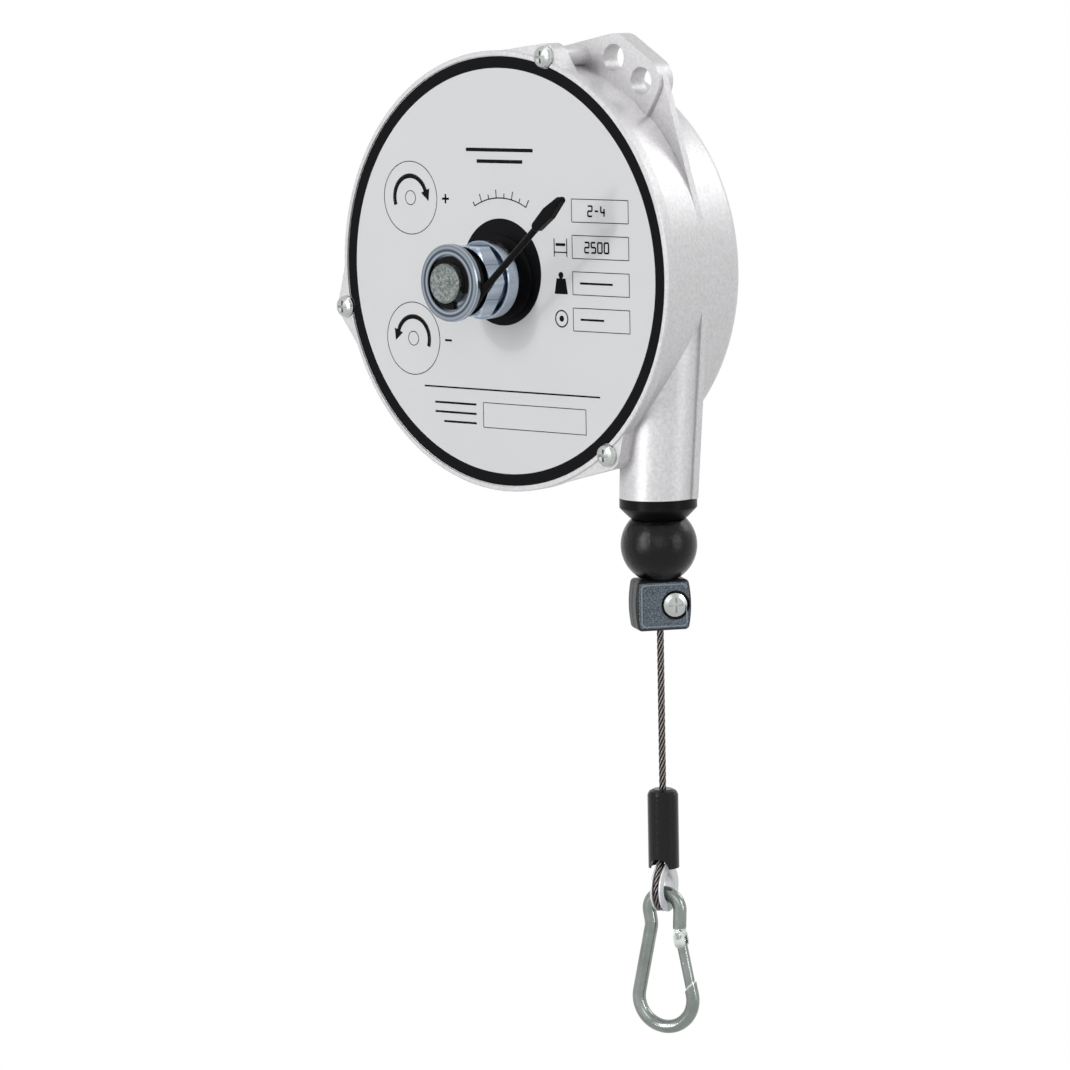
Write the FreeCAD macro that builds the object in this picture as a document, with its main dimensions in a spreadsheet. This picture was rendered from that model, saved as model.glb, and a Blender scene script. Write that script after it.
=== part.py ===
"""Spring tool balancer, 2 to 4 kg with 2.5 m of cord, as separate pieces in millimetres.

Frame of the whole part: the origin is the centre of the suspension hole, +X to the right of the
label, +Y away from the label and +Z up.  Most pieces are drawn round the drum axis, which is
below the middle of the round case.
"""
import FreeCAD
import Part
import Sketcher
import math
import os

SIZES = [
    # case and cover; radii from the middle of the case, depths behind the front of the label
    ("label_radius", 90, "printed label, outer radius"),
    ("label_thickness", 0.3, "printed label, thickness"),
    ("rim_overhang", 2.4, "cover rim beyond the label"),
    ("rim_width", 2.0, "cover rim, width of its front face"),
    ("rim_height", 0.5, "cover rim in front of the label"),
    ("cover_plate", 3.0, "cover plate, thickness"),
    ("split_depth", 4.5, "joint between cover and case"),
    ("spigot_length", 3.5, "cover spigot inside the case bore"),
    ("spigot_clearance", 0.15, "spigot to case bore, radial"),
    ("wall_front_step", 1.7, "case wall at the joint, outside the label radius"),
    ("wall_mid_step", 1.2, "case wall at the parting plane, inside the label radius"),
    ("wall_rear_step", 2.8, "case wall where the rear edge starts, inside the label radius"),
    ("wall_thickness", 3.0, "case wall"),
    ("case_depth", 56, "back of the case"),
    ("case_rise", 2.5, "middle of the case above the drum axis"),
    ("rear_edge", 9, "round at the rear edge"),
    ("parting_depth", 26.2, "parting plane of the casting"),
    ("ridge_thickness", 3.4, "ridge along the parting plane"),
    ("ridge_height", 0.9, "ridge beyond the spout side"),
    # suspension lug
    ("hole_x", 43.3, "suspension hole from the middle of the case"),
    ("hole_drop", 1.3, "suspension hole below the top of the label"),
    ("safety_x", 58.1, "safety hole from the middle of the case"),
    ("safety_drop", 10.8, "safety hole below the top of the label"),
    ("hole_radius", 5.65, "suspension and safety holes"),
    ("lug_radius", 10, "lug outline round each hole"),
    ("lug_front", 24, "front of the lug"),
    ("lug_thickness", 8.8, "lug plate"),
    # cover screws
    ("screw_outset", 3.5, "cover screws outside the label radius"),
    ("screw_top_angle", 73.5, "degrees"),
    ("screw_left_angle", 191, "degrees"),
    ("screw_bottom_angle", 308, "degrees"),
    ("screw_head_radius", 4.7, "cover screw heads"),
    ("screw_head_height", 3.4, "cover screw heads"),
    ("screw_radius", 2.5, "M5 cover screws"),
    ("screw_length", 14, "M5 cover screws under the head"),
    ("ear_radius", 5.6, "cover ears round the upper screws"),
    ("low_ear_radius", 6, "cover ear beside the spout"),
    ("ear_depth", 3.5, "case ears behind the joint"),
    ("boss_radius", 4.0, "screw bosses"),
    # cord line and spout
    ("cord_x", 64, "cord from the drum axis, equal to the first winding radius"),
    ("cord_y", 24, "cord behind the label"),
    ("cord_radius", 1.5, "cord"),
    ("spout_reach", 3, "mouth of the spout below the bottom of the label"),
    ("spout_top", -5, "start of the spout"),
    ("spout_radius", 16.2, "mouth of the spout"),
    ("spout_top_radius", 17.7, "start of the spout"),
    ("spout_shift", 5.8, "spout start, to the right of the cord"),
    ("spout_wall", 3.2, "wall of the spout"),
    ("guide_plug", 8, "guide inside the spout"),
    ("guide_flange", 5, "guide flange"),
    ("guide_nose", 3.5, "tapered nose of the guide"),
    ("guide_nose_radius", 12.2, "lower end of the guide"),
    ("guide_hole", 2.2, "cord hole in the guide"),
    # drum, spring and axle
    ("turn_pitch", 4.0, "turn to turn along the axis"),
    ("turn_rise", 2.4, "turn to turn across the axis"),
    ("drum_flange", 2.4, "flanges beyond the outer turn"),
    ("spring_chamber", 56, "spring chamber in the drum"),
    ("spring_strip", 1.0, "power spring strip thickness"),
    ("spring_width", 21, "power spring strip width"),
    ("spring_inner", 15.5, "power spring, inner radius"),
    ("axle_radius", 8.25, "fixed axle"),
    ("axle_front", -35.6, "front end of the axle"),
    ("axle_thread", 6, "rear end of the axle, through the case"),
    ("arbor_radius", 12, "arbor of the adjusting hub"),
    ("bush_wall", 4, "walls of the bushes"),
    ("running_clearance", 0.06, "turning fits, radial"),
    ("free_gap", 0.4, "between faces that pass one another"),
    # adjusting hub and brake spring in front of the label
    ("bush_flange_radius", 17.6, "front bush flange"),
    ("bush_flange", 0.8, "front bush flange, thickness"),
    ("hub_flange_radius", 16.4, "rear flange of the hub"),
    ("hub_flange_front", -13.5, "front of the rear flange"),
    ("hub_back", -7, "back of the rear flange"),
    ("hub_hexagon", 29, "hexagon across the flats"),
    ("hub_hexagon_front", -23.6, "front of the hexagon"),
    ("hub_core_radius", 10.8, "core inside the brake spring"),
    ("brake_front", -30, "front of the brake spring groove"),
    ("ring_radius", 16.2, "front ring"),
    ("ring_front", -32.5, "front of the front ring"),
    ("ring_recess", 11.6, "recess in the front ring"),
    ("wire_radius", 1.45, "brake spring wire"),
    ("coil_radius", 12.55, "brake spring, mean radius"),
    ("lever_y", -28.35, "plane of the lever"),
    # parts on the cord
    ("ball_radius", 16, "stop ball"),
    ("ball_drop", 4, "top of the stop ball below the mouth of the spout"),
    ("ball_flat_drop", 14, "flat under the stop ball below its centre"),
    ("clamp_gap", 0.1, "between the stop ball and the clamp"),
    ("clamp_height", 21.2, "clamp"),
    ("clamp_width", 24, "clamp"),
    ("clamp_depth", 14, "clamp, both halves"),
    ("clamp_turn", 56, "degrees the clamp is turned about the cord"),
    ("clamp_screw_offset", 4.9, "clamp screw from the cord"),
    ("clamp_screw_radius", 5.5, "clamp screw head"),
    ("clamp_recess", 6.15, "recess round the clamp screw head"),
    ("sleeve_top", -216.2, "top of the sleeve"),
    ("sleeve_bottom", -249.6, "bottom of the sleeve"),
    ("sleeve_wall", 1.05, "wall of the sleeve"),
    ("sleeve_slack", 0.75, "inside of the sleeve beyond the tail of the cord"),
    ("eye_z", -258.5, "centre of the cord eye"),
    ("eye_radius", 8.5, "cord centreline in the eye"),
    ("thimble_wall", 1.8, "plastic under the cord in the eye"),
    ("eye_turn", 107.5, "degrees, direction the eye faces"),
    # snap hook
    ("hang_gap", 0.3, "between the hook and the eye it hangs in"),
    ("hook_rod", 2.85, "hook rod radius"),
    ("hook_loop", 7.0, "centreline radius of the top loop"),
    ("hook_neck", 6.1, "centreline of the neck from the middle"),
    ("hook_bend", 12.3, "centreline radius of the lower bend"),
    ("hook_bend_drop", 48.1, "lower bend centre below the top of the hook"),
    ("gate_rod", 2.3, "gate rod radius"),
]

doc = FreeCAD.newDocument("ToolBalancer")
sheet = doc.addObject("Spreadsheet::Sheet", "Sizes")


class Size:
    """A number together with the sheet formula it comes from, so both stay in step."""

    def __init__(self, number, formula):
        self.number = float(number)
        self.formula = formula

    def __add__(self, other):
        return Size(self.number + num(other), "(%s + %s)" % (self.formula, text(other)))

    def __radd__(self, other):
        return as_size(other) + self

    def __sub__(self, other):
        return Size(self.number - num(other), "(%s - %s)" % (self.formula, text(other)))

    def __rsub__(self, other):
        return as_size(other) - self

    def __mul__(self, other):
        return Size(self.number * num(other), "(%s * %s)" % (self.formula, text(other)))

    def __rmul__(self, other):
        return as_size(other) * self

    def __truediv__(self, other):
        return Size(self.number / num(other), "(%s / %s)" % (self.formula, text(other)))

    def __rtruediv__(self, other):
        return as_size(other) / self

    def __neg__(self):
        return as_size(0) - self


def num(value):
    return value.number if isinstance(value, Size) else float(value)


def text(value):
    if isinstance(value, Size):
        return value.formula
    return "%.6f" % value if value >= 0 else "(0 - %.6f)" % -value


def as_size(value):
    return value if isinstance(value, Size) else Size(value, text(value))


def cosd(angle):
    angle = as_size(angle)
    return Size(math.cos(math.radians(angle.number)), "cos(%s)" % angle.formula)


def sind(angle):
    angle = as_size(angle)
    return Size(math.sin(math.radians(angle.number)), "sin(%s)" % angle.formula)


def root(value):
    value = as_size(value)
    return Size(math.sqrt(value.number), "sqrt(%s)" % value.formula)


class Sheet:
    """The driving sizes by name; only the names given in SIZES exist."""


S = Sheet()
for row, (alias, value, note) in enumerate(SIZES, start=1):
    sheet.set("A%d" % row, note)
    sheet.set("B%d" % row, str(value))
    sheet.setAlias("B%d" % row, alias)
    setattr(S, alias, Size(value, "Sizes." + alias))
doc.recompute()

# sizes that follow others: the case grows with the label, the cord's pieces hang below it
S.wall_front_radius = S.label_radius + S.wall_front_step
S.wall_mid_radius = S.label_radius - S.wall_mid_step
S.wall_rear_radius = S.label_radius - S.wall_rear_step
S.screw_circle = S.label_radius + S.screw_outset
S.hole_z = S.label_radius - S.hole_drop
S.safety_z = S.label_radius - S.safety_drop
S.spout_bottom = -(S.label_radius + S.spout_reach)
S.ball_z = S.spout_bottom - S.ball_drop - S.ball_radius
S.ball_flat = S.ball_z - S.ball_flat_drop
S.clamp_top = S.ball_flat - S.clamp_gap


def bind(obj, prop, value):
    """Set a property from a size, by expression where it comes from the sheet."""
    if isinstance(value, Size):
        obj.setExpression(prop, value.formula)
    elif "." not in prop:
        setattr(obj, prop, value)
    else:
        obj.setExpression(prop, text(value))


# where drawings round the case, the drum axis and the cord sit in the frame of the part
CASE = (-S.hole_x, -(S.lug_front + S.lug_thickness / 2), -S.hole_z)
DRUM = (CASE[0], CASE[1], CASE[2] - S.case_rise)
CORD = (CASE[0] + S.cord_x, CASE[1] + S.cord_y, CASE[2])
pieces = []


def place(obj, at, turn=0, axis=(0, 0, 1)):
    """Put a piece at a point, turned about an axis through that point."""
    obj.Placement = FreeCAD.Placement(FreeCAD.Vector(*[num(v) for v in at]),
                                      FreeCAD.Rotation(FreeCAD.Vector(*axis), num(turn)))
    for name, value in zip("xyz", at):
        bind(obj, "Placement.Base." + name, value)
    if num(turn):
        bind(obj, "Placement.Rotation.Angle", turn)


def new_body(label, at=DRUM, turn=0, axis=(0, 0, 1)):
    body = doc.addObject("PartDesign::Body", label)
    body.Label = label
    place(body, at, turn, axis)
    pieces.append(body)
    return body


def new_sketch(body, plane, name, offset=0):
    """Sketch on an origin plane of the body, moved along its normal by the offset."""
    sketch = body.newObject("Sketcher::SketchObject", name)
    support = [f for f in body.Origin.OriginFeatures if f.Role == plane][0]
    sketch.AttachmentSupport = [(support, "")]
    sketch.MapMode = "FlatFace"
    if isinstance(offset, Size) or offset != 0:
        bind(sketch, "AttachmentOffset.Base.z", as_size(offset))
    return sketch


def pin(sketch, element, point, x, y):
    """Hold one point of an element at (x, y) of its sketch; None leaves it free."""
    for kind, value in (("DistanceX", x), ("DistanceY", y)):
        if value is None:
            continue
        row = sketch.addConstraint(Sketcher.Constraint(kind, -1, 1, element, point, num(value)))
        if isinstance(value, Size):
            sketch.setExpression("Constraints[%d]" % row, value.formula)


def radius(sketch, element, value):
    row = sketch.addConstraint(Sketcher.Constraint("Radius", element, num(value)))
    if isinstance(value, Size):
        sketch.setExpression("Constraints[%d]" % row, value.formula)


class Arc:
    """Put between two corners of an outline: they are joined by an arc about (x, y).

    One corner of the arc leaves one coordinate open (None): side tells on which side of the
    centre it lies, or a third value in the corner gives its rough place.
    """

    def __init__(self, x, y, side=1, left=True):
        self.x, self.y, self.side, self.left = as_size(x), as_size(y), side, left


def polygon(sketch, points):
    """Closed outline of straight sides and arcs with every corner held."""
    corners, arcs = [], {}
    for item in points:
        if isinstance(item, Arc):
            arcs[len(corners) - 1] = item
            continue
        x, y = item[:2]
        if len(item) == 3:
            x = item[2] if x is None else x
            y = item[2] if y is None else y
        if x is None or y is None:
            arc, before = arcs[len(corners) - 1], corners[-1]
            reach = math.hypot(before[0] - num(arc.x), before[1] - num(arc.y))
            if y is None:
                y = num(arc.y) + arc.side * math.sqrt(reach ** 2 - (num(x) - num(arc.x)) ** 2)
            else:
                x = num(arc.x) + arc.side * math.sqrt(reach ** 2 - (num(y) - num(arc.y)) ** 2)
        corners.append((num(x), num(y)))
    held = [item for item in points if not isinstance(item, Arc)]
    ends = []
    for i, (x, y) in enumerate(corners):
        here = FreeCAD.Vector(x, y, 0)
        there = FreeCAD.Vector(*corners[(i + 1) % len(corners)], 0)
        if i not in arcs:
            ends.append((sketch.addGeometry(Part.LineSegment(here, there), False), 1, 2))
            continue
        arc = arcs[i]
        centre = FreeCAD.Vector(num(arc.x), num(arc.y), 0)
        first, last = [math.atan2(v.y - centre.y, v.x - centre.x) for v in (here, there)]
        if not arc.left:
            first, last = last, first
        while last <= first:
            last += 2 * math.pi
        ring = Part.Circle(centre, FreeCAD.Vector(0, 0, 1), (here - centre).Length)
        element = sketch.addGeometry(Part.ArcOfCircle(ring, first, last), False)
        ends.append((element, 1, 2) if arc.left else (element, 2, 1))
    for i, (element, start, stop) in enumerate(ends):
        after = ends[(i + 1) % len(ends)]
        sketch.addConstraint(Sketcher.Constraint("Coincident", element, stop, after[0], after[1]))
        pin(sketch, element, start, *held[i][:2])
        if i in arcs:
            pin(sketch, element, 3, arcs[i].x, arcs[i].y)


def circle(sketch, x, y, r):
    centre = FreeCAD.Vector(num(x), num(y), 0)
    element = sketch.addGeometry(Part.Circle(centre, FreeCAD.Vector(0, 0, 1), num(r)), False)
    pin(sketch, element, 3, x, y)
    radius(sketch, element, r)


def belt(sketch, circles):
    """Outline stretched round circles (x, y, r) listed anticlockwise, its sides tangent."""
    count, angles = len(circles), []
    for i in range(count):
        (xa, ya, ra), (xb, yb, rb) = [[num(v) for v in c]
                                      for c in (circles[i], circles[(i + 1) % count])]
        along = math.atan2(yb - ya, xb - xa)
        angles.append(along - math.acos((ra - rb) / math.hypot(xb - xa, yb - ya)))
    arcs, ends = [], []
    for i, (x, y, r) in enumerate(circles):
        start, stop = angles[i - 1], angles[i]
        while stop <= start:
            stop += 2 * math.pi
        while stop - start > 2 * math.pi:
            stop -= 2 * math.pi
        ring = Part.Circle(FreeCAD.Vector(num(x), num(y), 0), FreeCAD.Vector(0, 0, 1), num(r))
        arc = Part.ArcOfCircle(ring, start, stop)
        ends.append((arc.StartPoint, arc.EndPoint))
        arcs.append(sketch.addGeometry(arc, False))
    for i in range(count):
        after = (i + 1) % count
        side = sketch.addGeometry(Part.LineSegment(ends[i][1], ends[after][0]), False)
        sketch.addConstraint(Sketcher.Constraint("Tangent", arcs[i], 2, side, 1))
        sketch.addConstraint(Sketcher.Constraint("Tangent", side, 2, arcs[after], 1))
    for element, (x, y, r) in zip(arcs, circles):
        pin(sketch, element, 3, x, y)
        radius(sketch, element, r)


def revolve(body, name, points, plane="XY_Plane", cut=False):
    """Turn a profile about the Y axis (XY_Plane) or the Z axis (XZ_Plane) of its body."""
    sketch = new_sketch(body, plane, name + "Profile")
    polygon(sketch, points)
    kind = "PartDesign::Groove" if cut else "PartDesign::Revolution"
    feature = body.newObject(kind, name)
    feature.Profile = sketch
    feature.ReferenceAxis = (sketch, ["V_Axis"])
    feature.Angle = 360
    return feature


def extrude(body, name, sketch, length, cut=False, back=False):
    feature = body.newObject("PartDesign::Pocket" if cut else "PartDesign::Pad", name)
    feature.Profile = sketch
    bind(feature, "Length", length)
    feature.Reversed = back
    return feature


def slab(body, name, front, rear, outline, draw=polygon):
    """Plate between two depths y; its outline is drawn in x and z."""
    sketch = new_sketch(body, "XZ_Plane", name + "Outline", -as_size(rear))
    draw(sketch, outline)
    return extrude(body, name, sketch, as_size(rear) - front)


def drill(body, name, x, z, r, front, rear):
    """Round hole along Y between two depths."""
    sketch = new_sketch(body, "XZ_Plane", name + "Circle", -as_size(rear))
    circle(sketch, x, z, r)
    return extrude(body, name, sketch, as_size(rear) - front, cut=True, back=True)


def route(sketch, start, bends, stop):
    """Open path from start to stop round bends (x, y, r, turn): straight runs and arcs.

    turn is 1 for an anticlockwise bend and -1 for a clockwise one.
    """
    stations = [(start[0], start[1], 0, 1)] + list(bends) + [(stop[0], stop[1], 0, 1)]
    headings = []
    for (xa, ya, ra, ta), (xb, yb, rb, tb) in zip(stations, stations[1:]):
        dx, dy = num(xb) - num(xa), num(yb) - num(ya)
        shift = (num(rb) * tb - num(ra) * ta) / math.hypot(dx, dy)
        headings.append(math.atan2(dy, dx) - math.asin(shift))

    def touch(station, heading):
        x, y, r, turn = station
        return FreeCAD.Vector(num(x) + num(r) * turn * math.sin(heading),
                              num(y) - num(r) * turn * math.cos(heading), 0)

    runs = [sketch.addGeometry(Part.LineSegment(touch(a, h), touch(b, h)), False)
            for a, b, h in zip(stations, stations[1:], headings)]
    for i, (x, y, r, turn) in enumerate(bends):
        centre = FreeCAD.Vector(num(x), num(y), 0)
        angles = []
        for heading in (headings[i], headings[i + 1]):
            spoke = touch(bends[i], heading) - centre
            angles.append(math.atan2(spoke.y, spoke.x))
        first, last = angles if turn > 0 else angles[::-1]
        while last <= first:
            last += 2 * math.pi
        ring = Part.Circle(centre, FreeCAD.Vector(0, 0, 1), num(r))
        element = sketch.addGeometry(Part.ArcOfCircle(ring, first, last), False)
        into, out = (1, 2) if turn > 0 else (2, 1)
        sketch.addConstraint(Sketcher.Constraint("Tangent", runs[i], 2, element, into))
        sketch.addConstraint(Sketcher.Constraint("Tangent", element, out, runs[i + 1], 1))
        pin(sketch, element, 3, x, y)
        radius(sketch, element, r)
    pin(sketch, runs[0], 1, *start)
    pin(sketch, runs[-1], 2, *stop)


def tube(body, name, section, path, kind="PartDesign::AdditivePipe"):
    """Round rod or cord: a circle sketch carried along a path sketch."""
    feature = body.newObject(kind, name)
    feature.Profile = section
    feature.Spine = path
    feature.Mode = "Frenet" if kind.endswith("Frenet") else "Standard"
    return feature


def round_plug(body, name, plane, offset, x, y, r, length, cut=False, back=False):
    """Cylinder, or round hole, normal to an origin plane."""
    sketch = new_sketch(body, plane, name + "Circle", offset)
    circle(sketch, x, y, r)
    return extrude(body, name, sketch, length, cut=cut, back=back)


def fillet(body, name, feature, size, wanted):
    """Round the edges of a feature whose centre of mass and edge pass the test."""
    doc.recompute()
    edges = ["Edge%d" % (i + 1) for i, e in enumerate(feature.Shape.Edges) if wanted(e)]
    assert edges, name + " found no edge"
    rounded = body.newObject("PartDesign::Fillet", name)
    rounded.Base = (feature, edges)
    bind(rounded, "Radius", size)
    return rounded


# ---------------------------------------------------------------- case
def on_circle(r, angle):
    return r * cosd(angle), r * sind(angle)


screw_angles = (S.screw_top_angle, S.screw_left_angle, S.screw_bottom_angle)
screw_places = [on_circle(S.screw_circle, a) for a in screw_angles]
inner_front = S.wall_front_radius - S.wall_thickness - 0.5
spigot_end = S.split_depth + S.spigot_length
case_back = S.case_depth - S.wall_thickness
lug_rear = S.lug_front + S.lug_thickness
ridge_rear = S.parting_depth + S.ridge_thickness


def tangent_disc(edge, angle, r=20):
    """Disc of radius r that touches the inside of a larger circle at an angle."""
    x, z = on_circle(edge - r, angle)
    return x, z, as_size(r)


def ears(edge):
    """Outlines of the three screw ears, each stretched from the round of the case."""
    top, left, low = screw_places
    return [
        [tangent_disc(edge, S.screw_top_angle - 3), (top[0], top[1], S.ear_radius),
         tangent_disc(edge, S.screw_top_angle + 16)],
        [tangent_disc(edge, S.screw_left_angle - 10), (left[0], left[1], S.ear_radius),
         tangent_disc(edge, S.screw_left_angle + 10)],
        [tangent_disc(edge, 282), (low[0], low[1], S.low_ear_radius),
         tangent_disc(edge, S.screw_bottom_angle + 4)],
    ]


case = new_body("housing_body", CASE)
shell = revolve(case, "Shell", [
    (0, S.split_depth), (S.wall_front_radius, S.split_depth),
    (S.wall_mid_radius, S.parting_depth), (S.wall_rear_radius, S.case_depth - S.rear_edge),
    (S.wall_rear_radius - 0.6, S.case_depth), (0, S.case_depth)])
shell = fillet(case, "RearEdge", shell, S.rear_edge,
               lambda e: abs(e.CenterOfMass.y - S.case_depth.number) < 0.1 and e.Length > 400)
slab(case, "LugPlate", S.lug_front, lug_rear, [
    (S.safety_x, S.safety_z, S.lug_radius), (S.hole_x, S.hole_z, S.lug_radius),
    tangent_disc(S.wall_mid_radius, 101), (S.safety_x + 0.2, S.safety_z - 16, as_size(1.2))],
    draw=belt)
slab(case, "LugWeb", S.parting_depth, ridge_rear, [
    (S.safety_x, S.safety_z, S.lug_radius), (S.hole_x, S.hole_z, S.lug_radius),
    tangent_disc(S.wall_mid_radius, 101), tangent_disc(S.wall_mid_radius, 17)], draw=belt)
for number, outline in enumerate(ears(S.wall_front_radius), start=1):
    slab(case, "Ear%d" % number, S.split_depth, S.split_depth + S.ear_depth, outline, draw=belt)
boss_ends = (S.lug_front, S.cord_y - 2, S.cord_y - 6)
for number, ((x, z), end) in enumerate(zip(screw_places, boss_ends), start=1):
    slab(case, "Boss%d" % number, S.split_depth, end, [(x, z, S.boss_radius)],
         draw=lambda sketch, circles: circle(sketch, *circles[0]))

# spout: a leaning cone that carries the cord guide, with the parting ridge on its side
spout_low = new_sketch(case, "XY_Plane", "SpoutMouth", S.spout_bottom)
circle(spout_low, S.cord_x, S.cord_y, S.spout_radius)
spout_high = new_sketch(case, "XY_Plane", "SpoutStart", S.spout_top)
circle(spout_high, S.cord_x + S.spout_shift, S.cord_y, S.spout_top_radius)
spout = case.newObject("PartDesign::AdditiveLoft", "Spout")
spout.Profile = spout_low
spout.Sections = [spout_high]
spout.Ruled = True
mouth_edge = S.cord_x + S.spout_radius
start_edge = S.cord_x + S.spout_shift + S.spout_top_radius
slab(case, "SpoutRidge", S.parting_depth, ridge_rear, [
    (start_edge - 4, S.spout_top + 12), (start_edge + S.ridge_height, S.spout_top),
    (mouth_edge + S.ridge_height, S.spout_bottom), (mouth_edge - 1.6, S.spout_bottom)])
low_x, low_z = screw_places[2]
slab(case, "SpoutBoss", S.split_depth + 2.5, S.cord_y - 2, [
    (low_x, low_z, S.low_ear_radius - 0.6), (S.cord_x - 6, low_z, S.low_ear_radius - 0.6)][::-1],
    draw=belt)

# inside of the case, the bore of the spout and the holes
revolve(case, "Cavity", [
    (0, S.split_depth - 1), (inner_front, S.split_depth - 1), (inner_front, spigot_end + 0.5),
    (S.wall_mid_radius - S.wall_thickness - 0.6, S.parting_depth),
    (S.wall_rear_radius - S.wall_thickness, case_back - S.rear_edge / 2),
    (S.wall_rear_radius - S.wall_thickness - S.rear_edge / 2, case_back), (0, case_back)],
    cut=True)
bore_low = new_sketch(case, "XY_Plane", "SpoutBoreMouth", S.spout_bottom)
circle(bore_low, S.cord_x, S.cord_y, S.spout_radius - S.spout_wall)
bore_high = new_sketch(case, "XY_Plane", "SpoutBoreStart", S.spout_top)
circle(bore_high, S.cord_x + S.spout_shift, S.cord_y, S.spout_top_radius - S.spout_wall)
bore = case.newObject("PartDesign::SubtractiveLoft", "SpoutBore")
bore.Profile = bore_low
bore.Sections = [bore_high]
bore.Ruled = True
drill(case, "SuspensionHole", S.hole_x, S.hole_z, S.hole_radius, S.lug_front - 1, lug_rear + 1)
drill(case, "SafetyHole", S.safety_x, S.safety_z, S.hole_radius, S.lug_front - 1, lug_rear + 1)
for number, (x, z) in enumerate(screw_places, start=1):
    drill(case, "ScrewHole%d" % number, x, z, S.screw_radius + 0.05, S.split_depth - 1,
          S.screw_length + 1)
drill(case, "AxleHole", 0, -S.case_rise, S.axle_thread + 0.05, case_back - 1, S.case_depth + 1)

# ---------------------------------------------------------------- front cover and label
rim_outer = S.label_radius + S.rim_overhang
rim_inner = rim_outer - S.rim_width
plate_rear = S.label_thickness + S.cover_plate
spigot_outer = inner_front - S.spigot_clearance
sleeve_bore = S.arbor_radius + S.running_clearance
bush_outer = sleeve_bore + S.bush_wall

cover = new_body("front_cover", CASE)
revolve(cover, "CoverPlate", [
    (0, S.label_thickness), (rim_inner, S.label_thickness),
    (rim_inner, -S.rim_height), (rim_outer - 0.4, -S.rim_height),
    (rim_outer, 0.4 - S.rim_height), (rim_outer, S.split_depth), (spigot_outer, S.split_depth),
    (spigot_outer, spigot_end), (spigot_outer - 3, spigot_end), (spigot_outer - 3, plate_rear),
    (0, plate_rear)])
for number, outline in enumerate(ears(rim_outer - 0.2), start=1):
    slab(cover, "CoverEar%d" % number, S.label_thickness, S.split_depth, outline, draw=belt)
for number, (x, z) in enumerate(screw_places, start=1):
    drill(cover, "HeadSeat%d" % number, x, z, S.screw_head_radius + 0.2, -2, S.label_thickness)
    drill(cover, "CoverHole%d" % number, x, z, S.screw_radius + 0.25, -2, S.split_depth + 1)

drill(cover, "BushSeat", 0, -S.case_rise, bush_outer, S.label_thickness - 1, plate_rear + 1)

label = new_body("front_label", CASE)
revolve(label, "LabelDisc", [
    (0, 0), (S.label_radius, 0), (S.label_radius, S.label_thickness), (0, S.label_thickness)])
drill(label, "LabelHole", 0, -S.case_rise, bush_outer, -1, S.label_thickness + 1)
for number, (x, z) in enumerate(screw_places, start=1):
    drill(label, "LabelNotch%d" % number, x, z, S.screw_head_radius + 0.2, -1,
          S.label_thickness + 1)

# pan heads with a cross recess, on their shanks
head_rear = S.label_thickness
head_front = head_rear - S.screw_head_height
for number, (x, z) in enumerate(screw_places, start=1):
    screw = new_body("cover_screw_%d" % number, (CASE[0] + x, CASE[1], CASE[2] + z))
    head = S.screw_head_radius
    revolve(screw, "ScrewTurned", [
        (0, head_front), (head * 0.55, head_front + 0.25), (head * 0.86, head_front + 0.9),
        (head, head_front + 2.0), (head, head_rear), (S.screw_radius, head_rear),
        (S.screw_radius, S.screw_length), (0, S.screw_length)])
    for side, (wide, high) in enumerate(((head * 1.1, 1.1), (1.1, head * 1.1)), start=1):
        cross = new_sketch(screw, "XZ_Plane", "Cross%dOutline" % side, -(head_front + 1.6))
        half_w, half_h = as_size(wide) / 2, as_size(high) / 2
        polygon(cross, [(-half_w, -half_h), (half_w, -half_h), (half_w, half_h),
                        (-half_w, half_h)])
        extrude(screw, "Cross%d" % side, cross, as_size(2.4), cut=True, back=True)

# ---------------------------------------------------------------- axle, bush, hub and brake
axle_bore = S.axle_radius + S.running_clearance
axle = new_body("center_axle")
revolve(axle, "AxleTurned", [
    (0, S.axle_front), (S.axle_radius - 0.8, S.axle_front),
    (S.axle_radius, S.axle_front + 0.8), (S.axle_radius, case_back),
    (S.axle_thread, case_back), (S.axle_thread, S.case_depth + 9.2),
    (S.axle_thread - 0.8, S.case_depth + 10), (0, S.case_depth + 10)])

washer = new_body("axle_washer")
revolve(washer, "WasherTurned", [
    (S.axle_thread + 0.05, S.case_depth), (12, S.case_depth), (12, S.case_depth + 1.5),
    (S.axle_thread + 0.05, S.case_depth + 1.5)])


def hexagon(across):
    """Corners of a hexagon with two corners on the x axis."""
    corner = across / math.sqrt(3)
    return [(corner * cosd(60 * i), corner * sind(60 * i)) for i in range(6)]


nut = new_body("axle_nut")
slab(nut, "NutHexagon", S.case_depth + 1.5, S.case_depth + 8, hexagon(S.axle_thread * 3))
drill(nut, "NutBore", 0, 0, S.axle_thread + 0.05, S.case_depth, S.case_depth + 9)

hub_bush = new_body("hub_bush")
revolve(hub_bush, "BushTurned", [
    (sleeve_bore, -S.bush_flange), (S.bush_flange_radius, -S.bush_flange),
    (S.bush_flange_radius, 0), (bush_outer, 0), (bush_outer, spigot_end + 1),
    (sleeve_bore, spigot_end + 1)])

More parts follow.
